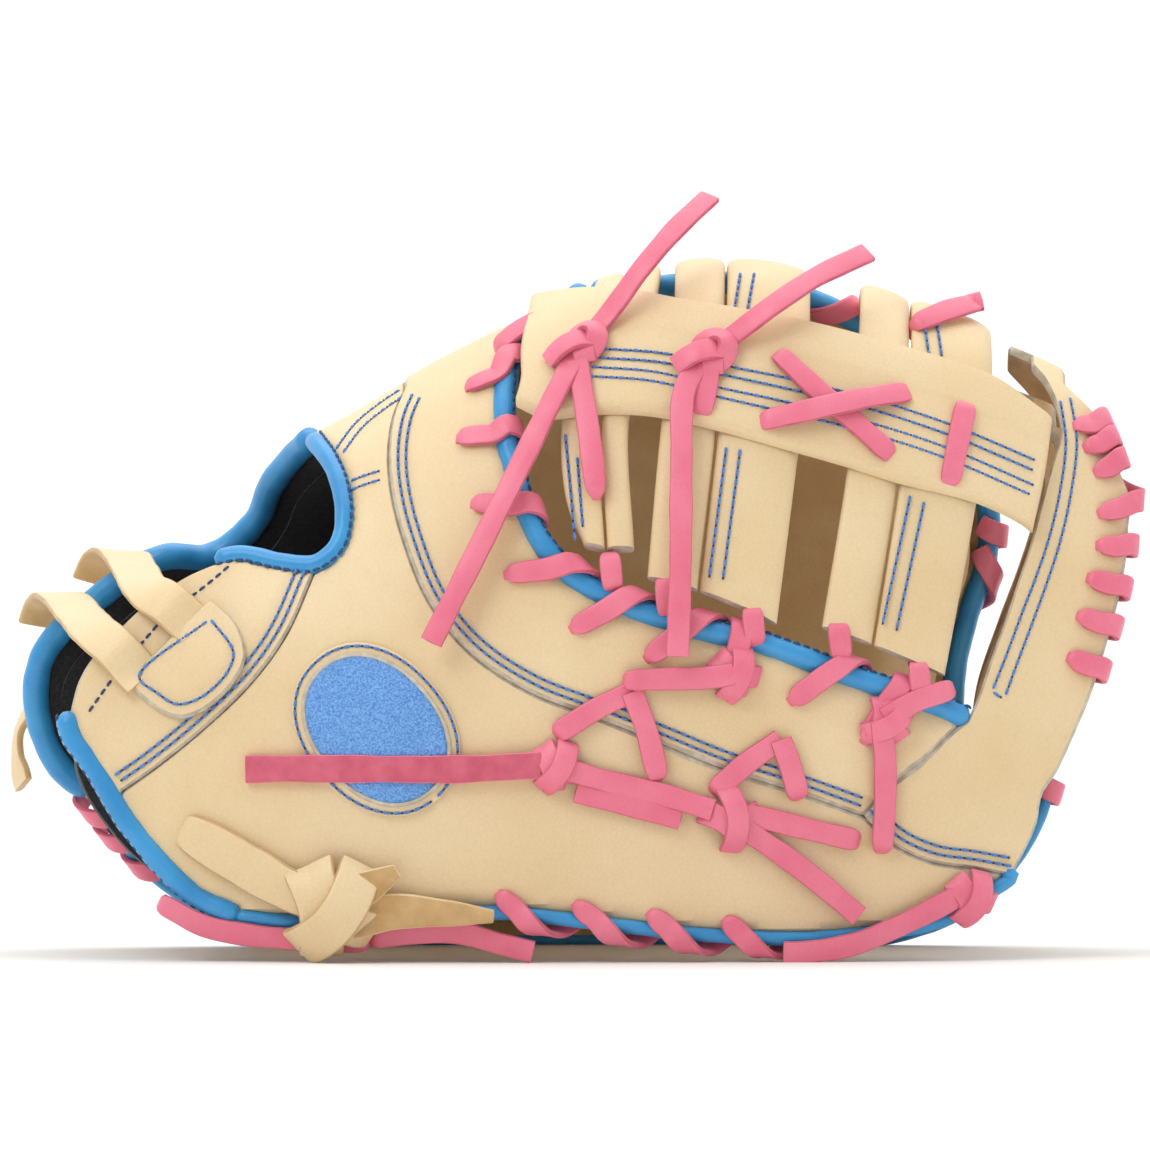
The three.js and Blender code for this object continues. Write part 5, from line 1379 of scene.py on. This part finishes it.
def ring_tube(loop_at, lift, half_wide, half_high, sides=12):
    """A closed ring with an elliptical section over an oval."""
    across, down = loop_at
    centre, out = on_shell(across, down, lift, THUMB), outwards(across, down, THUMB)
    run = unit(np.roll(centre, -1, axis=0) - np.roll(centre, 1, axis=0))
    wide = np.cross(out, run)
    a = (2 * np.pi * np.arange(sides) / sides)[:, None]
    rings = centre[:, None] + half_wide * wide[:, None] * np.cos(a) + half_high * out[:, None] * np.sin(a)
    n = len(centre)
    r, i = np.meshgrid(np.arange(n), np.arange(sides), indexing="ij")
    at = lambda r, i: (r % n) * sides + i % sides
    quads = np.stack([at(r, i), at(r, i + 1), at(r + 1, i + 1), at(r + 1, i)], -1)
    return rings.reshape(-1, 3), quads.reshape(-1, 4)


window_points, window_quads = ring_tube(oval(PATCH_MARGIN, 220), 1.75, 0.6, 0.45)
put("window_edge", window_points, [window_quads], [raw_edge])

# %% [markdown]
# Every seam is sewn with a lockstitch. A stitch is a short bent capsule: its ends dip into the leather and
# its middle stands proud. Short navy capsules in the holes between them are painted shade of the stitch
# holes.
# All stitches of one colour and piece share a mesh, set out by the pitch.

# %% Stitches
PITCH = 3.0
STITCH_LENGTH = 2.5
THREAD_RADIUS = 0.44


def capsule(length, radius, sides=6, rings=6):
    """A capsule along its first axis: radius times root of one less the end share squared, bent down."""
    t = np.linspace(-1, 1, rings)
    round_end = np.sqrt(np.clip(1 - np.abs(t) ** 5, 0.12, 1)) * radius
    a = 2 * np.pi * np.arange(sides) / sides
    x = np.repeat(t * length / 2, sides)
    y = (round_end[:, None] * np.cos(a)).ravel()
    z = (round_end[:, None] * np.sin(a) + 0.2 - 0.42 * t[:, None] ** 2).ravel()
    points = np.vstack([np.stack([x, y, z], 1), [[-length / 2, 0, -0.22], [length / 2, 0, -0.22]]])
    return points, *rings_to_faces(rings, sides)


def stitched(name, rows, material, length=STITCH_LENGTH, radius=THREAD_RADIUS, start=0.5):
    """Capsules at one share of each pitch along rows of (places, outward directions), in one mesh."""
    shape, quads, fans = capsule(length, radius)
    places, runs, outs = [], [], []
    for points, normals in rows:
        along = np.r_[0, np.cumsum(np.linalg.norm(np.diff(points, axis=0), axis=1))]
        at = np.arange(PITCH * start, along[-1] - PITCH / 3, PITCH)
        mix = lambda values, at: np.stack([np.interp(at, along, values[:, k]) for k in range(3)], 1)
        places.append(mix(points, at))
        runs.append(unit(mix(points, at + 0.6) - mix(points, at - 0.6)))
        outs.append(unit(mix(normals, at)))
    place, run, out = (np.vstack(v)[:, None] for v in (places, runs, outs))
    wide = unit(np.cross(out, run))
    points = place + shape[:, :1] * run + shape[:, 1:2] * wide + shape[:, 2:] * np.cross(run, wide)
    shift = (np.arange(len(place)) * len(shape))[:, None, None]
    faces = [(quads[None] + shift).reshape(-1, 4), (fans[None] + shift).reshape(-1, 3)]
    return put(name, points.reshape(-1, 3), faces, [material])


def row(line, side, lift, smooth=True, uneven=1.0):
    """A row of places and outward directions over a line of the side view, as uneven as its panel there."""
    p = curve(line, 3.0) if smooth else np.asarray(line, float)
    place = on_flat(p, side)
    lift = lift + uneven * (unevenness(place[:, 0], place[:, 1]) - 0.12)
    return on_shell(p[:, 0], p[:, 1], lift, side), outwards(p[:, 0], p[:, 1], side)


def beside_roll(line, radius, angle):
    """A row beside a roll: its middle plus the radius turned by an angle from outwards to widthways."""
    points, normals = line
    run = unit(np.gradient(points, axis=0))
    out = unit(normals - (normals * run).sum(-1, keepdims=True) * run)
    wide = np.cross(out, run)
    lean = out * np.cos(angle) + wide * np.sin(angle)
    return points + radius * lean, unit(lean + 0.5 * out)

# %% [markdown]
# The stitch lines are double rows beside each seam, the rows of the web's bars and post, the tab, the
# patch's border, and dark single rows along the rolled edges.

# %% Stitch lines
BAR_STITCHES = [
    [[(565, 432), (575, 538)], [(577, 455), (583, 530)]],
    [[(726, 445), (708, 580)], [(740, 447), (722, 580)], [(741, 272), (732, 322)], [(755, 272), (745, 322)]],
    [[(910, 494), (880, 630)], [(924, 500), (895, 632)], [(925, 320), (932, 375)], [(938, 320), (945, 378)]],
]
TIP_ROWS = [
    [(1072, 397), (1078, 442), (1072, 492), (1061, 540), (1048, 580), (1034, 618), (1018, 660), (1004, 698)],
    [(1062, 400), (1067, 442), (1061, 490), (1050, 536), (1036, 577), (1021, 615), (1006, 655), (992, 690)],
    [(992, 691), (997, 695), (1004, 699)],
]
HOLE_SEAM = [(350, 490), (366, 484), (385, 478)]
RIDGE_SEAM = [(335, 450), (355, 424), (378, 405), (400, 390)]
FAR_SEAM = [(452, 400), (458, 500), (500, 610), (580, 710), (690, 790), (820, 850), (930, 885)]
seam_rows = [row(line, THUMB, STEP + 0.1) for pair in seam_lines.values() for line in pair]
seam_rows += [row(line, THUMB, STEP + 0.1) for line in TIP_ROWS]
for line, shift, side in [
    (HOLE_SEAM, (0, -9), THUMB), (RIDGE_SEAM, (7, 4), THUMB), (FAR_SEAM, (9, -7), FINGER),
]:
    seam_rows += [row(line, side, 0.1), row(np.array(line) + shift, side, 0.1)]
border_row = np.stack(oval(0.8, 200), 1)
for name, rows in {
    "seam": seam_rows,
    "post": [row(line, THUMB, POST_TOP + 0.1) for line in POST_ROWS],
    "bar": [row(line, THUMB, BAR_PROUD + 0.2, uneven=0) for bar in BAR_STITCHES for line in bar],
    "tab": [row(TAB_STITCH + TAB_STITCH[:1], THUMB, 3.85)],
    "patch": [row(border_row, THUMB, 1.62, smooth=False)],
}.items():
    stitched(f"{name}_stitches", rows, thread)
    # Short navy capsules in the holes between stitches: painted shade of the stitch holes.
    stitched(f"{name}_painted_hole_shade", rows, navy_thread_and_hole_shade, 0.95, 0.34, 1.0)
WRIST_ROW = [(230, 565), (215, 578), (200, 590), (170, 612), (150, 634), (115, 676), (87, 715)]
edge_rows = [
    beside_roll(rolls["thumb_rim_roll"][0], 3.5, 1.05), beside_roll(rolls["finger_hole_roll"][0], 3.0, -1.0),
    beside_roll(rolls["heel_roll"][0], 2.9, -1.0), row(WRIST_ROW, THUMB, STEP + 0.1),
]
stitched("edge_stitches", edge_rows, navy_thread_and_hole_shade)

# %% [markdown]
# The camera stands far off with a long lens, as a catalogue photographer's does, so that near and far sides
# keep the same scale. The floor and the light are plain: two big soft boxes and a bright room.

# %% Camera, floor and light
LENS = 600
SENSOR = 36
FRAME_WIDTH = 1150 * UNIT / 1000
camera_data = bpy.data.cameras.new("camera")
camera_data.lens, camera_data.sensor_width, camera_data.clip_end = LENS, SENSOR, 60
camera = bpy.data.objects.new("camera", camera_data)
bpy.context.scene.collection.objects.link(camera)
bpy.context.scene.camera = camera
ELEVATION = np.radians(1.2)
away = FRAME_WIDTH * LENS / SENSOR
middle = np.array([SHIFT[0] / 1000, (SHIFT[1] - 40) / 1000, height_of(575) / 1000])
camera.location = middle + away * np.array([0, -np.cos(ELEVATION), np.sin(ELEVATION)])
camera.rotation_euler = (np.pi / 2 - ELEVATION, 0, 0)

floor_mesh = bpy.data.meshes.new("floor")
half = 1.7
corners = [(-half, -half, 0), (half, -half, 0), (half, half, 0), (-half, half, 0)]
floor_mesh.from_pydata(corners, [], [(0, 1, 2, 3)])
floor = bpy.data.objects.new("floor", floor_mesh)
bpy.context.scene.collection.objects.link(floor)
floor_mesh.materials.append(surface("matt white board", Base_Color=linear("#f4f4f2"), Roughness=0.9)[0])

world = bpy.data.worlds.new("room")
world.use_nodes = True
tree = world.node_tree
direction = node(tree, "ShaderNodeTexCoord").outputs["Generated"]
behind = node(tree, "ShaderNodeSeparateXYZ", {"Vector": direction}).outputs["Y"]
glow = node(
    tree, "ShaderNodeMapRange",
    {"Value": behind, "From Min": -0.5, "From Max": 0.4, "To Min": 0.42, "To Max": 1.1},
)
tree.nodes["Background"].inputs["Color"].default_value = linear("#ffffff")
tree.links.new(glow.outputs[0], tree.nodes["Background"].inputs["Strength"])
bpy.context.scene.world = world
bpy.context.scene.view_settings.view_transform = "Standard"
for name, place, size, power in [
    ("key", (-0.9, -1.2, 1.4), 0.9, 11), ("fill", (1.4, -0.9, 0.8), 1.4, 2.5),
    ("top", (0.1, 0.3, 2.4), 3.0, 40),
]:
    lamp = bpy.data.lights.new(name, "AREA")
    lamp.size, lamp.energy = size, power
    light = bpy.data.objects.new(name, lamp)
    light.location = place
    light.rotation_euler = (Vector((0, 0, 0.1)) - Vector(place)).to_track_quat("-Z", "Y").to_euler()
    bpy.context.scene.collection.objects.link(light)
print("camera at", [round(v, 3) for v in camera.location])
